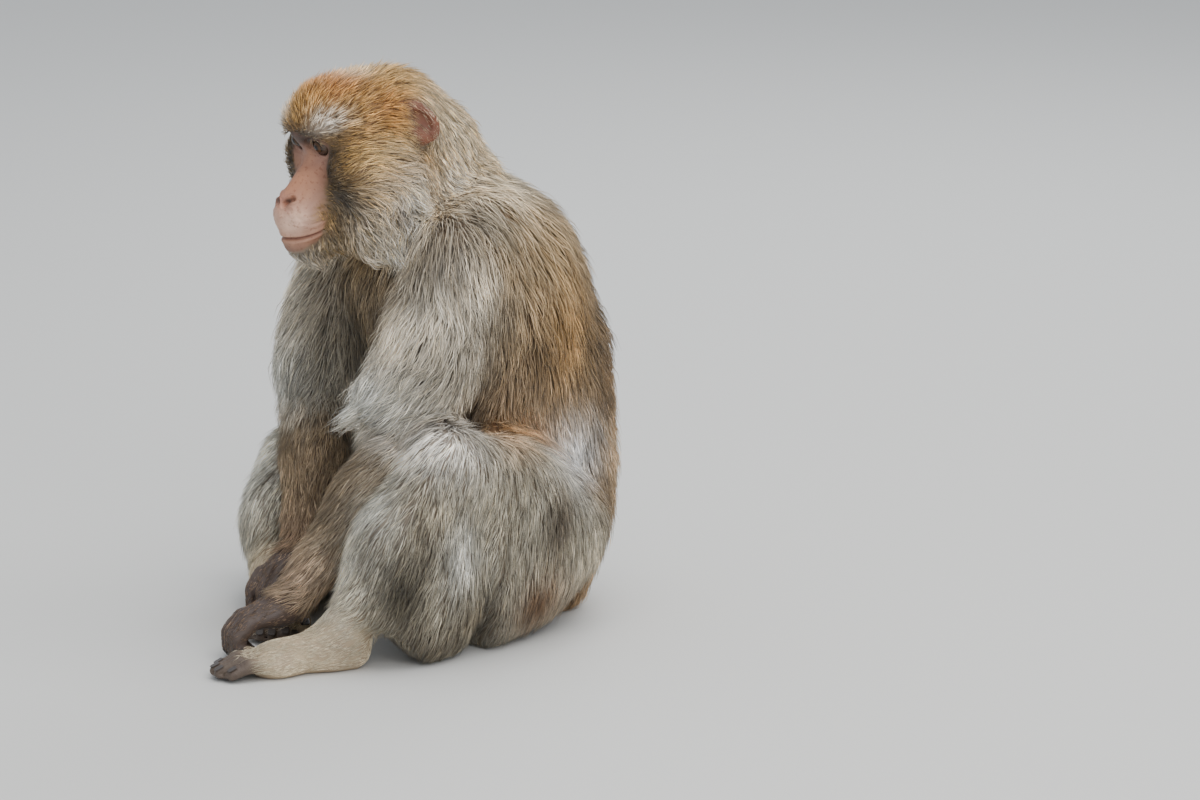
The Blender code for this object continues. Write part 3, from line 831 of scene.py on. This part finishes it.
headMarks = (
    # side, forward and up in millimetres, sizes, tone, strength
    ("gold brow", (12, 12, 34), (28, 22, 11), (192, 150, 84), 0.8),
    ("orange forehead", (14, -28, 46), (34, 26, 14), (200, 132, 74), 0.7),
    ("pale crown", (0, -56, 52), (16, 20, 16), (250, 242, 224), 0.92),
    ("pale top", (20, -78, 44), (24, 22, 14), (214, 186, 136), 0.6),
    ("orange temple", (52, -50, 16), (24, 20, 20), (204, 146, 80), 0.75),
    ("brown temple", (44, -18, 4), (20, 20, 12), (160, 128, 88), 0.6),
    ("dark brow edge", (16, 16, 15), (30, 14, 4.5), (52, 42, 34), 0.95),
    ("pale over eye", (30, 4, 22), (17, 17, 9), (238, 228, 212), 0.95),
    ("pale cheek edge", (58, -34, -18), (20, 34, 14), (206, 184, 144), 0.6),
    ("dark cheek", (37, 10, -46), (16, 22, 30), (58, 50, 36), 0.98),
    ("dark cheek top", (33, 10, -22), (8, 14, 16), (60, 52, 38), 0.9),
    ("dark eye corner", (34, 2, -8), (10, 12, 18), (54, 45, 36), 0.95),
    ("olive band", (51, -12, -34), (11, 10, 24), (194, 164, 104), 0.85),
    ("pale ruff", (62, -38, -60), (28, 34, 26), (242, 238, 228), 0.92),
    ("pale ruff", (56, -16, -94), (28, 34, 34), (244, 240, 228), 0.92),
    ("brown swirl", (68, -20, -64), (9, 10, 9), (140, 120, 100), 0.75),
    ("cream nape", (40, -122, -26), (54, 34, 54), (232, 220, 196), 0.85),
    ("cream behind ear", (58, -104, -6), (24, 16, 34), (232, 216, 188), 0.85),
    ("white under ear", (60, -100, -72), (26, 22, 22), (248, 244, 234), 0.9),
    ("pale chin", (0, 52, -94), (26, 24, 9), (226, 218, 204), 0.85),
    ("grey jaw", (26, 30, -92), (16, 22, 14), (188, 176, 156), 0.7),
    # the throat: partly greyish hair, partly painted shade under the chin
    ("grey throat, partly painted shade", (0, 16, -118), (26, 30, 12), (150, 138, 112), 0.6),
    ("pale lower ruff", (56, -6, -120), (32, 42, 20), (240, 236, 224), 0.85),
)
faceMarks = (  # on the bare skin, in the same way
    ("nose", (0, 38, -30), (16, 26, 20), (188, 134, 102), 0.8),
    ("nose tip", (0, 56, -40), (12, 10, 8), (206, 146, 126), 0.7),
    ("muzzle", (12, 52, -60), (24, 24, 14), (232, 200, 180), 0.9),
    ("lower lip", (0, 56, -90), (28, 20, 9), (116, 92, 80), 0.9),
    # dark socket and dark socket edge: partly the darker skin round the eyes, partly painted shade under the
    # overhanging brow
    ("dark socket", (9, 10, 9), (28, 36, 14), (46, 37, 34), 1.0),
    ("dark socket edge", (34, 6, -6), (7, 20, 16), (60, 48, 42), 0.85),
    ("nose root", (0, 14, -3), (4.5, 30, 7), (132, 112, 108), 0.6),
    ("lower lid", (20, 12, -10), (9, 20, 4), (140, 114, 106), 0.7),
    ("under eye", (19, 14, -16), (10, 14, 5), (150, 116, 104), 0.6),
    ("cheek", (29, 18, -36), (8, 18, 26), (118, 92, 74), 0.8),
    ("mole", (15, 49, -57), (3.6, 8, 3.2), (108, 102, 100), 0.7),
    # the near-black nostril is painted shade inside the sculpted nostril
    ("nostril", (8, 51, -41), (5.4, 7, 3.6), (38, 18, 15), 0.97),
)
bodyMiddle = 0.015  # how far the backbone lies from X = 0


def marked(tones, marks, weigh, spots, scale=1, share=1):  # each mark is laid over the ones before it
    for label, middle, size, colour, strength in marks:
        weight = weigh(spots, np.array(middle) / scale, np.array(size) / scale) * strength * share
        tones = mixed(tones, tone(*colour), weight)
    return tones


def coatTone(places, shares):
    tones = shares @ np.array([tone(*coatTones[name]) for name in partNames])
    outward = places.copy()
    outward[:, 0] = abs(outward[:, 0] - bodyMiddle)
    tones = marked(tones, trunkMarks, patch, outward, 1000)
    tones = marked(tones, limbMarks, patch, places, 1000)
    return marked(tones, headMarks, bump, toHead(places), 1, shareOf(shares, "head", "ear"))


def flowWays(places, normals, shares):  # the way the hair lies
    leftSide = (places[:, 0] > 0.012).astype(float)[:, None]

    def along(first, second):  # the bone from one limb part to the next
        bones = [middleOf(second + "_" + side) - middleOf(first + "_" + side) for side in sides]
        return unit(bones[0]) * leftSide + unit(bones[1]) * (1 - leftSide)

    down = np.array((0, 0, -1.0))
    lies = {
        "neck": down + (0, 0.25, 0),
        "chest": down + (0, -0.05, 0),
        "loins": down + (0, 0.12, 0),
        "rump": down * 0.8 + (0, -0.35, 0),
        "tail_stub": down + (0, 0.8, 0),
        "upper_arm": unit(along("upper_arm", "forearm") * 0.2 + down),
        "forearm": along("forearm", "hand"),
        "hand": along("forearm", "hand") * 0.5 + (0, -0.8, 0),
        "thigh": unit(along("thigh", "shin") * 0.25 + down),
        "shin": unit(along("shin", "foot") * 0.6 + down * 0.7),
        "foot": along("shin", "foot") * 0.3 + (0, -1.0, 0),
    }
    ways = np.zeros_like(places)
    for name, lie in lies.items():
        ways += shareOf(shares, name)[:, None] * lie
    trunk = shareOf(shares, "neck", "chest", "upper_arm")
    fan = unit(places - (bodyMiddle, 0.005, 0.470))  # out from the base of the neck
    ways += (trunk * stepBetween(0.28, 0.40, places[:, 2]))[:, None] * fan * 1.6

    spot = side, forward, up = toHead(places)
    head = shareOf(shares, "head", "ear")
    turning = np.clip(np.clip((-up - 22) / 44, 0, 1) + np.clip((-forward - 40) / 60, 0, 1), 0, 1)
    chin = bump(spot, (0, 40, -100), (30, 34, 20))
    headFlow = unit(np.stack((
        np.sign(side) * (0.25 + 0.2 * turning),
        (1 - turning * 0.85) * (1 - 1.1 * chin),
        -turning * 1.15 + 0.15 * (up > 20) - 1.4 * chin,
    ), axis=1))
    ways += head[:, None] * (headFlow @ headTurning.T)
    fringe = np.maximum(
        patch(places, (0.105, -0.060, 0.255), (0.06, 0.06, 0.045)),
        0.4 * patch(places, (-0.078, -0.060, 0.255), (0.06, 0.06, 0.045)),
    )
    ways += fringe[:, None] * (0, -2.4, 0.3) * shareOf(shares, "upper_arm")[:, None]
    swirl = bump(spot, (64, -22, -58), (60, 30, 30)) * head  # the cheek's hair turns about a spot
    spin = np.stack((0 * side, up + 58, forward + 22), axis=1) / 22
    ways += (swirl * 1.3)[:, None] * (spin @ headTurning.T)

    ways -= normals * (ways * normals).sum(axis=1)[:, None]
    ways = unit(ways)
    ruff = bump(spot, (62, -34, -66), (30, 44, 46)) * shareOf(shares, "head")
    angle = (wander(places, 0.024, 3) * 0.9 * ruff + wander(places, 0.060, 4) * 0.13)[:, None]
    return unit(ways * np.cos(angle) + np.cross(normals, ways) * np.sin(angle))


def unwrapSkin():
    selectOnly(skin)
    switchMode("EDIT")
    bpy.ops.mesh.select_all(action="SELECT")
    bpy.ops.uv.smart_project(angle_limit=math.radians(70), island_margin=0.004)
    switchMode("OBJECT")
    skin.data.uv_layers[0].name = "OFBake"


coatWishes = {  # flyaway is a share of the tufts, patch a size on the bake map
    "seed": 7, "crowding": 1.0, "tuftsPerLock": 9, "flyaway": 0.08, "rise": (0.0, 0.50, 0.84, 1.0),
    "patch": 0.003,
}
ankles = ((0.150, -0.111, 0.042), (-0.055, -0.081, 0.042))

unwrapSkin()
report("skin unwrapped")
chance = np.random.default_rng(coatWishes["seed"])
skinPlaces = positionsOf(skin.data)
skinNormals = normalsOf(skin.data)
skinEnds = edgesOf(skin.data)
skinShares = partShares(skin.data, 6)
skinHead = shareOf(skinShares, "head")
skinTree = treeOf(skinPlaces)
skinFlow = flowWays(skinPlaces, skinNormals, skinShares)
skinFlow = unit(mixed(evened(skinFlow, skinEnds, 6), evened(skinFlow, skinEnds, 24), 1 - skinHead))
skinDepth = evened(coatDepths(skinPlaces, skinShares), skinEnds, 3)
skinFace = faceInside(skinPlaces)
skinToes = stepBetween(0.084, 0.108, distanceTo(skinPlaces, ankles))
report("skin charted")


def scatterRoots():
    corners = trianglesOf(skin.data)
    loops = readAll(skin.data.loop_triangles, "loops", 3, np.int32)
    chart = readAll(skin.data.uv_layers["OFBake"].data, "uv", 2)[loops]
    points = skinPlaces[corners]
    area = np.linalg.norm(np.cross(points[:, 1] - points[:, 0], points[:, 2] - points[:, 0]), axis=1) / 2
    crowd = byPart(skinShares, "crowding") * coatWishes["crowding"]
    crowd = crowd * (1 - skinHead * stepBetween(-1.5, 1.0, skinFace))
    earCore = 1 - stepBetween(0.008, 0.018, distanceTo(skinPlaces, earMiddles.values()))
    crowd = crowd * (1 - 0.8 * earCore)
    under = stepBetween(-0.85, -0.45, skinNormals[:, 2])
    crowd = crowd * (1 - shareOf(skinShares, "hand", "foot") * (1 - under))
    crowd = crowd * (1 - skinToes * shareOf(skinShares, "foot"))
    crowd = np.where(skinPlaces[:, 2] < 0.004, 0, np.clip(crowd, 0, None))
    weights = area * 1e4 * crowd[corners].mean(axis=1)
    total = int(weights.sum())
    picks = chance.choice(len(corners), size=total, p=weights / weights.sum())
    a = chance.random(total)
    b = chance.random(total)
    flip = a + b > 1
    a[flip], b[flip] = 1 - a[flip], 1 - b[flip]
    mixing = np.stack((1 - a - b, a, b), axis=1)
    return corners[picks], mixing, chart[picks]


rootCorners, rootMixing, rootChart = scatterRoots()


def atRoots(values):
    if values.ndim == 1:
        return (values[rootCorners] * rootMixing).sum(axis=1)
    return (values[rootCorners] * rootMixing[:, :, None]).sum(axis=1)


roots = atRoots(skinPlaces)
rootNormals = unit(atRoots(skinNormals))
rootFlows = unit(atRoots(skinFlow))
rootDepths = atRoots(skinDepth)
rootUvs = (rootChart * rootMixing[:, :, None]).sum(axis=1)
rootShares = atRoots(skinShares)
rootHead = shareOf(rootShares, "head")
rootFace = atRoots(skinFace)
rootParts = rootShares.argmax(axis=1)
rootSpot = toHead(roots)
rootForward, rootUp = rootSpot[1:]
report("%d tufts" % len(roots))


def browFringe():  # 1 in the narrow band where the brow's hair hangs over the eyes
    band = stepBetween(-1, 1, -rootFace) * (1 - stepBetween(4, 8, -rootFace))
    return band * stepBetween(6, 10, rootUp) * stepBetween(-12, -6, rootForward) * rootHead


def elbowFringe():  # 1 where long hair stands forward off the near elbow
    near = patch(roots, (0.105, -0.050, 0.264), (0.05, 0.034, 0.022))
    return near * (shareOf(rootShares, "upper_arm") > 0.3)


def standing():  # how steeply each tuft stands, 0 for flat, 1 for straight out
    crown = 0.40 * stepBetween(10, 26, rootUp) * (1 - stepBetween(60, 110, -rootForward))
    brow = 0.62 * stepBetween(-14, 4, rootForward) * stepBetween(12, 18, rootUp)
    ruff = 0.26 * bump(rootSpot, (60, -20, -74), (34, 40, 44))
    tuft = 0.75 * bump(rootSpot, (0, -54, 50), (15, 18, 16))
    beard = 0.95 * bump(rootSpot, (0, 44, -102), (32, 32, 14))
    head = np.maximum.reduce((crown, brow, ruff, tuft, beard, 0.9 * browFringe()))
    return np.maximum(head * rootHead, 0.42 * elbowFringe())


def tuftLengths():
    ruff = bump(rootSpot, (60, -22, -78), (34, 46, 50))
    crown = bump(rootSpot, (0, -62, 55), (40, 40, 24))
    lengths = atRoots(byPart(skinShares, "length")) + rootHead * (18 * ruff + 3 * crown)
    edge = np.clip(-rootFace / 30, 0, 1)
    lengths = lengths * (1 - rootHead * 0.68 * (1 - edge)) + 8 * browFringe()
    lengths = lengths + rootHead * 8 * bump(rootSpot, (0, -54, 50), (15, 18, 16))
    lengths = lengths + rootHead * 30 * bump(rootSpot, (0, 44, -103), (32, 32, 14))
    brow = stepBetween(-4, 8, rootForward) * stepBetween(14, 20, rootUp)
    lengths = lengths + 8 * elbowFringe() + 7 * rootHead * brow
    return lengths * chance.uniform(0.72, 1.18, len(lengths))


def tuftPaths(lengths):  # each tuft follows the skin, rising to the coat's own depth
    count = len(roots)
    knots = len(coatWishes["rise"])
    place = roots
    normal = rootNormals
    swing = (chance.normal(0, 0.18, count) * (1 + 1.5 * rootStand))[:, None]
    flow = unit(rootFlows + np.cross(normal, rootFlows) * swing)
    ruff = bump(rootSpot, (60, -26, -74), (36, 42, 40)) * rootHead
    curl = (chance.normal(0, 1, count) * (0.05 + 0.42 * ruff))[:, None]
    rise = rootDepths * chance.uniform(0.60, 1.12, count)
    loose = chance.random(count) < coatWishes["flyaway"]
    rise = np.where(loose, rise * 1.25 + 2.2 * (rootDepths > 3), rise)
    rise = np.maximum(rise, rootStand * lengths * 0.8)
    step = (lengths / 1000 / (knots - 1) * (1 - 0.75 * rootStand))[:, None]
    paths = np.empty((count, knots, 3))
    ways = np.empty((count, knots, 3))
    paths[:, 0] = place - normal * 0.0008  # rooted a little way in the skin
    ways[:, 0] = normal
    for knot in range(1, knots):
        guess = place + flow * step
        close = nearest(skinTree, guess)
        agree = (skinNormals[close] * normal).sum(axis=1) > 0.2
        normal = np.where(agree[:, None], skinNormals[close], normal)
        drop = ((guess - skinPlaces[close]) * normal).sum(axis=1)
        drop = np.where(agree & (abs(drop) < 0.014), drop, 0)
        place = guess - normal * drop[:, None]
        turned = skinFlow[close] + np.cross(normal, skinFlow[close]) * (swing + curl * knot)
        flow = np.where(agree[:, None], unit(turned), flow)
        paths[:, knot] = place + normal * (rise * coatWishes["rise"][knot] / 1000)[:, None]
        ways[:, knot] = normal
    paths[:, :, 2] = np.maximum(paths[:, :, 2], 0.0008)  # none goes through the floor
    return paths, ways


def gatherLocks(paths, strength):  # tips lean to the middle of their own lock
    leaders = chance.choice(len(roots), size=int(len(roots) / coatWishes["tuftsPerLock"]), replace=False)
    locks = leaders[nearest(treeOf(roots[leaders]), roots)]
    near = np.linalg.norm(roots - roots[locks], axis=1) < 0.014
    near &= (rootNormals * rootNormals[locks]).sum(axis=1) > 0.5
    knots = paths.shape[1]
    for knot in range(1, knots):
        share = (strength * near * (knot / (knots - 1)) ** 1.2)[:, None]
        paths[:, knot] += (paths[locks, knot] - paths[:, knot]) * share
    return locks


rootStand = standing()
tuftLength = tuftLengths()
tuftWidth = atRoots(byPart(skinShares, "width")) * chance.uniform(0.75, 1.2, len(roots))
tuftPoints, tuftWays = tuftPaths(tuftLength)
lockOf = gatherLocks(tuftPoints, atRoots(byPart(skinShares, "gathering")))
report("tufts combed")


def shadeTufts():  # locks and tufts differ in shade, and some hairs are dark and some pale
    count = len(roots)
    footShare = shareOf(rootShares, "foot")
    lockShade = np.exp(chance.normal(0, 0.17, count))[lockOf]
    shade = np.exp(chance.normal(0, 0.26, count)) * lockShade * np.exp(0.10 * wander(roots, 0.05, 5))
    shade **= 1 - 0.75 * footShare
    speckle = chance.random(count)
    grizzle = 0.35 + 0.65 * rootHead - 0.3 * footShare
    grizzle *= 1 - 0.75 * bump(rootSpot, (30, 2, 22), (18, 18, 10))
    shade *= 1 + grizzle * (0.40 * (speckle > 0.80) - 0.50 * (speckle < 0.20))
    warmth = abs(chance.normal(0, 0.08, count)) * grizzle - 0.04
    tones = coatTone(roots, rootShares) * np.stack((1 + warmth, np.ones(count), 1 - 2.0 * warmth), axis=1)
    shade *= np.exp(0.15 * wander(roots * (1, 1, 0.3), 0.020, 9) * (1 - rootHead))  # streaks down the body
    return np.clip(tones, 0, 1) * shade[:, None]


tuftTones = shadeTufts()


def makeHairGroup():  # dark at the root, ringed with dark and gold bands, pale at the tip
    group, given, made = nodeGroup(
        "banded_hair",
        (("Tone", "Color"), ("Along", "Float", 0.5), ("Chance", "Float", 0.5), ("Root Shade", "Float", 0.5),
         ("Tip Shade", "Float", 1.2), ("Band Strength", "Float", 0.3)),
        (("Color", "Color"), ("Roughness", "Float")),
    )
    levels = {"Value": given["Along"], "To Min": given["Root Shade"], "To Max": given["Tip Shade"]}
    shade = addNode(group, "MapRange", levels, interpolation_type="SMOOTHSTEP")["Result"]
    offset = mathNode(group, "MULTIPLY", given["Chance"], 6.28)
    ring = mathNode(group, "SINE", mathNode(group, "MULTIPLY_ADD", given["Along"], 11.0, offset))
    level = mathNode(group, "MULTIPLY_ADD", ring, given["Band Strength"], shade)
    colour = addNode(group, "VectorMath", {0: given["Tone"], "Scale": level}, operation="SCALE")["Vector"]
    feed(made, {"Color": colour, "Roughness": mathNode(group, "MULTIPLY_ADD", given["Chance"], 0.2, 0.5)})
    return group


def makeHairMaterial():
    material, shader = newMaterial("macaque_hair")
    tree = material.node_tree
    inputs = {
        "Tone": attributeNode(tree, "hairTone")["Color"],
        "Along": attributeNode(tree, "hairAlong")["Fac"],
        "Chance": attributeNode(tree, "hairChance")["Fac"],
        # the darker root is partly the hair's own dark grey base, partly painted shade between the tufts
        "Root Shade": 0.58, "Tip Shade": 1.3, "Band Strength": 0.16,
    }
    hair = addNode(tree, "Group", inputs, node_tree=makeHairGroup())
    feed(shader, {
        "Base Color": hair["Color"], "Roughness": hair["Roughness"], "Specular IOR Level": 0.25,
        "Sheen Weight": 0.15, "Sheen Roughness": 0.4,
    })
    return material


def makeSkinMaterial():
    material, shader = newMaterial("macaque_skin")
    tree = material.node_tree
    place = addNode(tree, "TexCoord", {})["Object"]
    freckles = addNode(tree, "TexNoise", {"Vector": place, "Scale": 260, "Detail": 2})["Fac"]
    spots = rampNode(tree, freckles, (0.58, (0, 0, 0)), (0.68, (1, 1, 1)))
    amount = mathNode(tree, "MULTIPLY", spots, attributeNode(tree, "bareSkin")["Fac"])
    amount = mathNode(tree, "MULTIPLY", amount, 0.45)
    colour = multiplied(tree, amount, attributeNode(tree, "skinTone")["Color"], (0.45, 0.27, 0.2, 1))
    blotch = mottleNode(tree, 60, 4, 0.5, 0.68)
    tint = rampNode(tree, blotch["Cloud"], (0.3, (0.82, 0.72, 0.7)), (0.7, (1.12, 1.05, 1.0)))
    pores = addNode(tree, "TexVoronoi", {"Vector": place, "Scale": 700})["Distance"]
    feed(shader, {
        "Base Color": multiplied(tree, 1.0, colour, tint),
        "Normal": addNode(tree, "Bump", {"Strength": 0.35, "Distance": 0.0006, "Height": pores})["Normal"],
        "Roughness": blotch["Shade"],
    })
    return material


def paintSkin():
    side, forward, up = spot = toHead(skinPlaces)
    face = np.tile(tone(168, 126, 102), (len(skinPlaces), 1))
    face = marked(face, faceMarks, bump, spot)
    lip = bell(up - mouthHeight(side), 1.3) * stepBetween(26, 34, forward) * (abs(side) < 31)
    face = mixed(face, tone(92, 50, 44), 0.7 * lip)
    bare = skinHead * stepBetween(-3, 2, skinFace)
    ear = shareOf(skinShares, "ear")
    tones = mixed(coatTone(skinPlaces, skinShares) * 0.5, face, bare)
    tones = mixed(tones, tone(106, 60, 38), ear * 0.95)
    tones = mixed(tones, tone(80, 71, 66), shareOf(skinShares, "hand") * 0.95)
    tones = mixed(tones, tone(74, 64, 58), shareOf(skinShares, "foot") * skinToes * 0.92)
    addAttribute(skin.data, "skinTone", tones)
    addAttribute(skin.data, "bareSkin", np.maximum(bare, 0.4 * ear))


paintSkin()
skin.data.materials.append(makeSkinMaterial())
report("skin painted")

hairMaterial = makeHairMaterial()
tuftShapes = {  # for each number of knots, those that are kept, and the width at all but the tip
    3: ((0, 1, 3), (0.55, 1.0)),
    4: ((0, 1, 2, 3), (0.55, 1.0, 0.72)),
}
tuftSection = ((-0.5, -0.12), (0.5, -0.12), (0, 0.30))  # a flat triangle, across and over


def growCoat(name, chosen, knots):
    index = np.flatnonzero(chosen)
    count = len(index)
    kept, thick = tuftShapes[knots]
    paths = tuftPoints[index][:, kept]
    width = tuftWidth[index] / 1000
    tangents = unit(np.gradient(paths, axis=1))
    across = unit(np.cross(tangents, tuftWays[index][:, kept]))
    over = np.cross(across, tangents)
    roll = chance.normal(0, 0.5, count)[:, None, None]
    across, over = across * np.cos(roll) + over * np.sin(roll), over * np.cos(roll) - across * np.sin(roll)
    points = []
    for ring, share in enumerate(thick):
        size = (width * share)[:, None]
        for aside, lift in tuftSection:
            points.append(paths[:, ring] + across[:, ring] * size * aside + over[:, ring] * size * lift)
    points.append(paths[:, -1])
    each = len(points)

    faces = [(0, 1, 2)]
    for a in range(0, each - 4, 3):
        for k, m in ((0, 1), (1, 2), (2, 0)):
            faces.append((a + m, a + k, a + 3 + k, a + 3 + m))
    for k, m in ((0, 1), (1, 2), (2, 0)):
        faces.append((each - 4 + m, each - 4 + k, each - 1))
    sizes = np.tile([len(face) for face in faces], count)
    corners = (np.concatenate(faces)[None, :] + np.arange(count)[:, None] * each).ravel()
    mesh = bpy.data.meshes.new(name)
    mesh.vertices.add(count * each)
    writeAll(mesh.vertices, "co", np.stack(points, axis=1))
    mesh.loops.add(len(corners))
    writeAll(mesh.loops, "vertex_index", corners, np.int32)
    mesh.polygons.add(len(sizes))
    writeAll(mesh.polygons, "loop_start", np.cumsum(sizes) - sizes, np.int32)
    writeAll(mesh.polygons, "use_smooth", np.ones(len(sizes)), bool)
    mesh.update(calc_edges=True)

    # the bake map: a small patch for each tuft at its root's place on the skin's unwrap
    along = np.repeat(np.linspace(0, 1, knots), 3)[:each]
    aside = np.array([0.0, 1.0, 0.5] * (knots - 1) + [0.5])
    spots = np.stack((aside, along), axis=1) * coatWishes["patch"]
    chart = rootUvs[index][:, None, :] + spots[None, :, :] - coatWishes["patch"] / 2
    chart = np.clip(chart, 0.0005, 0.9995).reshape(-1, 2)
    writeAll(mesh.uv_layers.new(name="OFBake").data, "uv", chart[corners])
    addAttribute(mesh, "hairTone", np.repeat(tuftTones[index], each, axis=0))
    addAttribute(mesh, "hairAlong", np.tile(along, count))
    addAttribute(mesh, "hairChance", np.repeat(chance.random(count), each))

    coat = newObject(name, mesh)
    mesh.materials.append(hairMaterial)
    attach(coat, "root")
    report("%s: %d tufts, %d triangles" % (name, count, len(trianglesOf(mesh))))


coatPieces = (
    # name, parts, knots, slot
    ("coat_crown", ("head", "ear"), 3, "crown"),
    ("coat_ruff", ("head",), 4, "mantle"),
    ("coat_neck", ("neck",), 4, "mantle"),
    ("coat_chest", ("chest",), 4, "mantle"),
    ("coat_loins", ("loins",), 4, "back"),
    ("coat_rump", ("rump", "tail_stub"), 4, "back"),
    ("coat_shoulders", ("upper_arm",), 4, "mantle"),
    ("coat_forearms", ("forearm", "hand"), 3, "limb"),
    ("coat_thighs", ("thigh",), 3, "thigh"),
    ("coat_shins", ("shin", "foot"), 3, "foot"),
)
rootRuff = (rootUp < -44 - 0.25 * np.clip(rootForward, -80, 20)) & belongs(rootParts, "head")
for name, parts, knots, slotName in coatPieces:
    chosen = belongs(rootParts, *parts)
    if "head" in parts:
        chosen &= rootRuff == (name == "coat_ruff")
    growCoat(name, chosen, knots)


eyeLooks = {"radius": 0.0098, "iris": 0.0058, "bulge": 0.0011}
irisTones = (  # from the middle of the pupil to the edge of the white
    (0.0, (0.004, 0.003, 0.003)), (0.26, (0.004, 0.003, 0.003)), (0.30, (0.045, 0.020, 0.008)),
    (0.50, (0.075, 0.034, 0.011)), (0.57, (0.014, 0.007, 0.004)), (0.64, (0.05, 0.03, 0.022)),
    (1.0, (0.12, 0.08, 0.06)),
)


def makeEyeMaterial():
    material, shader = newMaterial("wet_eye")
    tree = material.node_tree
    iris = rampNode(tree, attributeNode(tree, "irisRing")["Fac"], *irisTones)
    feed(shader, {
        "Base Color": multiplied(tree, 1.0, iris, mottleNode(tree, 900, 2, 0.75, 1.2)["Shade"]),
        "Roughness": 0.25, "Specular IOR Level": 0.2, "Coat Weight": 0.35, "Coat Roughness": 0.06,
    })
    return material


def makeEye(side, sign, material):
    radius = eyeLooks["radius"]
    gaze = Vector(headTurning @ (sign * 0.10, -1.0, -0.02)).normalized()
    bpy.ops.object.select_all(action="DESELECT")
    bpy.ops.mesh.primitive_uv_sphere_add(segments=48, ring_count=32, radius=radius, location=(0, 0, 0))
    eye = bpy.context.object
    eye.name = "eyeball_" + side
    places = positionsOf(eye.data)
    ring = np.hypot(places[:, 0], places[:, 1])
    front = places[:, 2] > 0
    places[:, 2] += eyeLooks["bulge"] * np.clip(1 - (ring / eyeLooks["iris"]) ** 2, 0, 1) * front
    setPositions(eye.data, places)
    addAttribute(eye.data, "irisRing", np.where(front, ring / radius, 1.0))
    turn = gaze.to_track_quat("Z", "Y").to_matrix().to_4x4()
    eye.data.transform(Matrix.Translation(eyeMiddles[side]) @ turn)
    bpy.ops.object.shade_smooth()
    eye.data.materials.append(material)
    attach(eye, "root")
    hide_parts("eye_" + side)


eyeMaterial = makeEyeMaterial()
for side, sign in sides.items():
    makeEye(side, sign, eyeMaterial)
report("eyes")

nailLooks = {"wide": 0.0076, "long": 0.0094, "thick": 0.0008, "bend": 80, "lift": 0.0003, "bevel": 0.0002}


def makeNailPlate():  # a plate bent over the fingertip, narrower at its free edge
    bpy.ops.object.select_all(action="DESELECT")
    bpy.ops.mesh.primitive_grid_add(x_subdivisions=8, y_subdivisions=8, size=1, location=(0, 0, 0))
    plate = bpy.context.object
    for row, narrow in ((0.5, 0.62), (0.375, 0.88), (-0.5, 0.82)):
        selectVertices(plate.data, abs(positionsOf(plate.data)[:, 1] - row) < 0.01)
        switchMode("EDIT")
        bpy.ops.transform.resize(value=(narrow, 1, 1), center_override=(0, row, 0))
        switchMode("OBJECT")
    plate.scale = (nailLooks["wide"], nailLooks["long"], 1)
    bpy.ops.object.transform_apply(location=False, rotation=False, scale=True)
    bend = math.radians(nailLooks["bend"])
    applyModifier(plate, "SIMPLE_DEFORM", deform_method="BEND", deform_axis="Y", angle=bend)
    applyModifier(plate, "SOLIDIFY", thickness=nailLooks["thick"], offset=0)
    applyModifier(plate, "BEVEL", width=nailLooks["bevel"], segments=1)
    bpy.ops.object.shade_smooth()
    return plate


# each nail's middle, the way it grows, the way it faces and its size, as outward, forward and up
def digitNails(name):
    if name.startswith("foot"):
        for index, reach in enumerate(toeReach):
            yield (18.3 - 11.7 * index, reach - 6, 14), (0, 0.90, -0.44), (0, 0.44, 0.90), 0.95
        yield (-34, 101, 16), (-0.17, 0.93, -0.30), (0, 0.30, 0.95), 1.2
    else:
        for index in range(4):
            low = abs(index - 1.3) * 1.5
            middle = (firstDigit - fingerPitch * index, 60, -46.5 - low)
            yield middle, (0, -0.62, -0.78), (0, 0.78, -0.62), 0.95
        yield (-33, 50, -31), (-0.12, 0.75, -0.65), (-0.5, 0.5, 0.7), 1.1


def makeNails(name, plate, material):
    place, turning, sign = digitFrame(name)
    copies = []
    for *ways, size in digitNails(name):
        middle, way, facing = [turning @ (part[0] * sign, -part[1], part[2]) for part in ways]
        close = skinTree.find(place + middle / 1000)[1]
        facing = unit(unit(facing) + 0.7 * skinNormals[close])
        way = unit(way - facing * (way @ facing))
        matrix = Matrix(np.stack((np.cross(way, facing), way, facing), axis=1) * size).to_4x4()
        matrix.translation = Vector(skinPlaces[close] + facing * nailLooks["lift"])
        nail = newObject("nail", plate.data.copy())
        nail.data.transform(matrix)
        copies.append(nail)
    selectOnly(*copies)
    bpy.ops.object.join()
    nails = bpy.context.object
    nails.name = "nails_" + name
    nails.data.materials.append(material)
    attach(nails, "root")


def makeNailMaterial():
    material, shader = newMaterial("dark_horn")
    streak = mottleNode(material.node_tree, 420, 3, 0.75, 1.3)["Shade"]
    horn = multiplied(material.node_tree, 1.0, (*tone(62, 54, 49), 1), streak)
    feed(shader, {"Base Color": horn, "Roughness": 0.38})
    return material


nailPlate = makeNailPlate()
nailMaterial = makeNailMaterial()
for name in digitLooks:
    makeNails(name, nailPlate, nailMaterial)
bpy.data.objects.remove(nailPlate)
report("nails")

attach(skin, "root")
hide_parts(*fleshNames)
selectOnly(skin)
bpy.ops.object.shade_smooth()
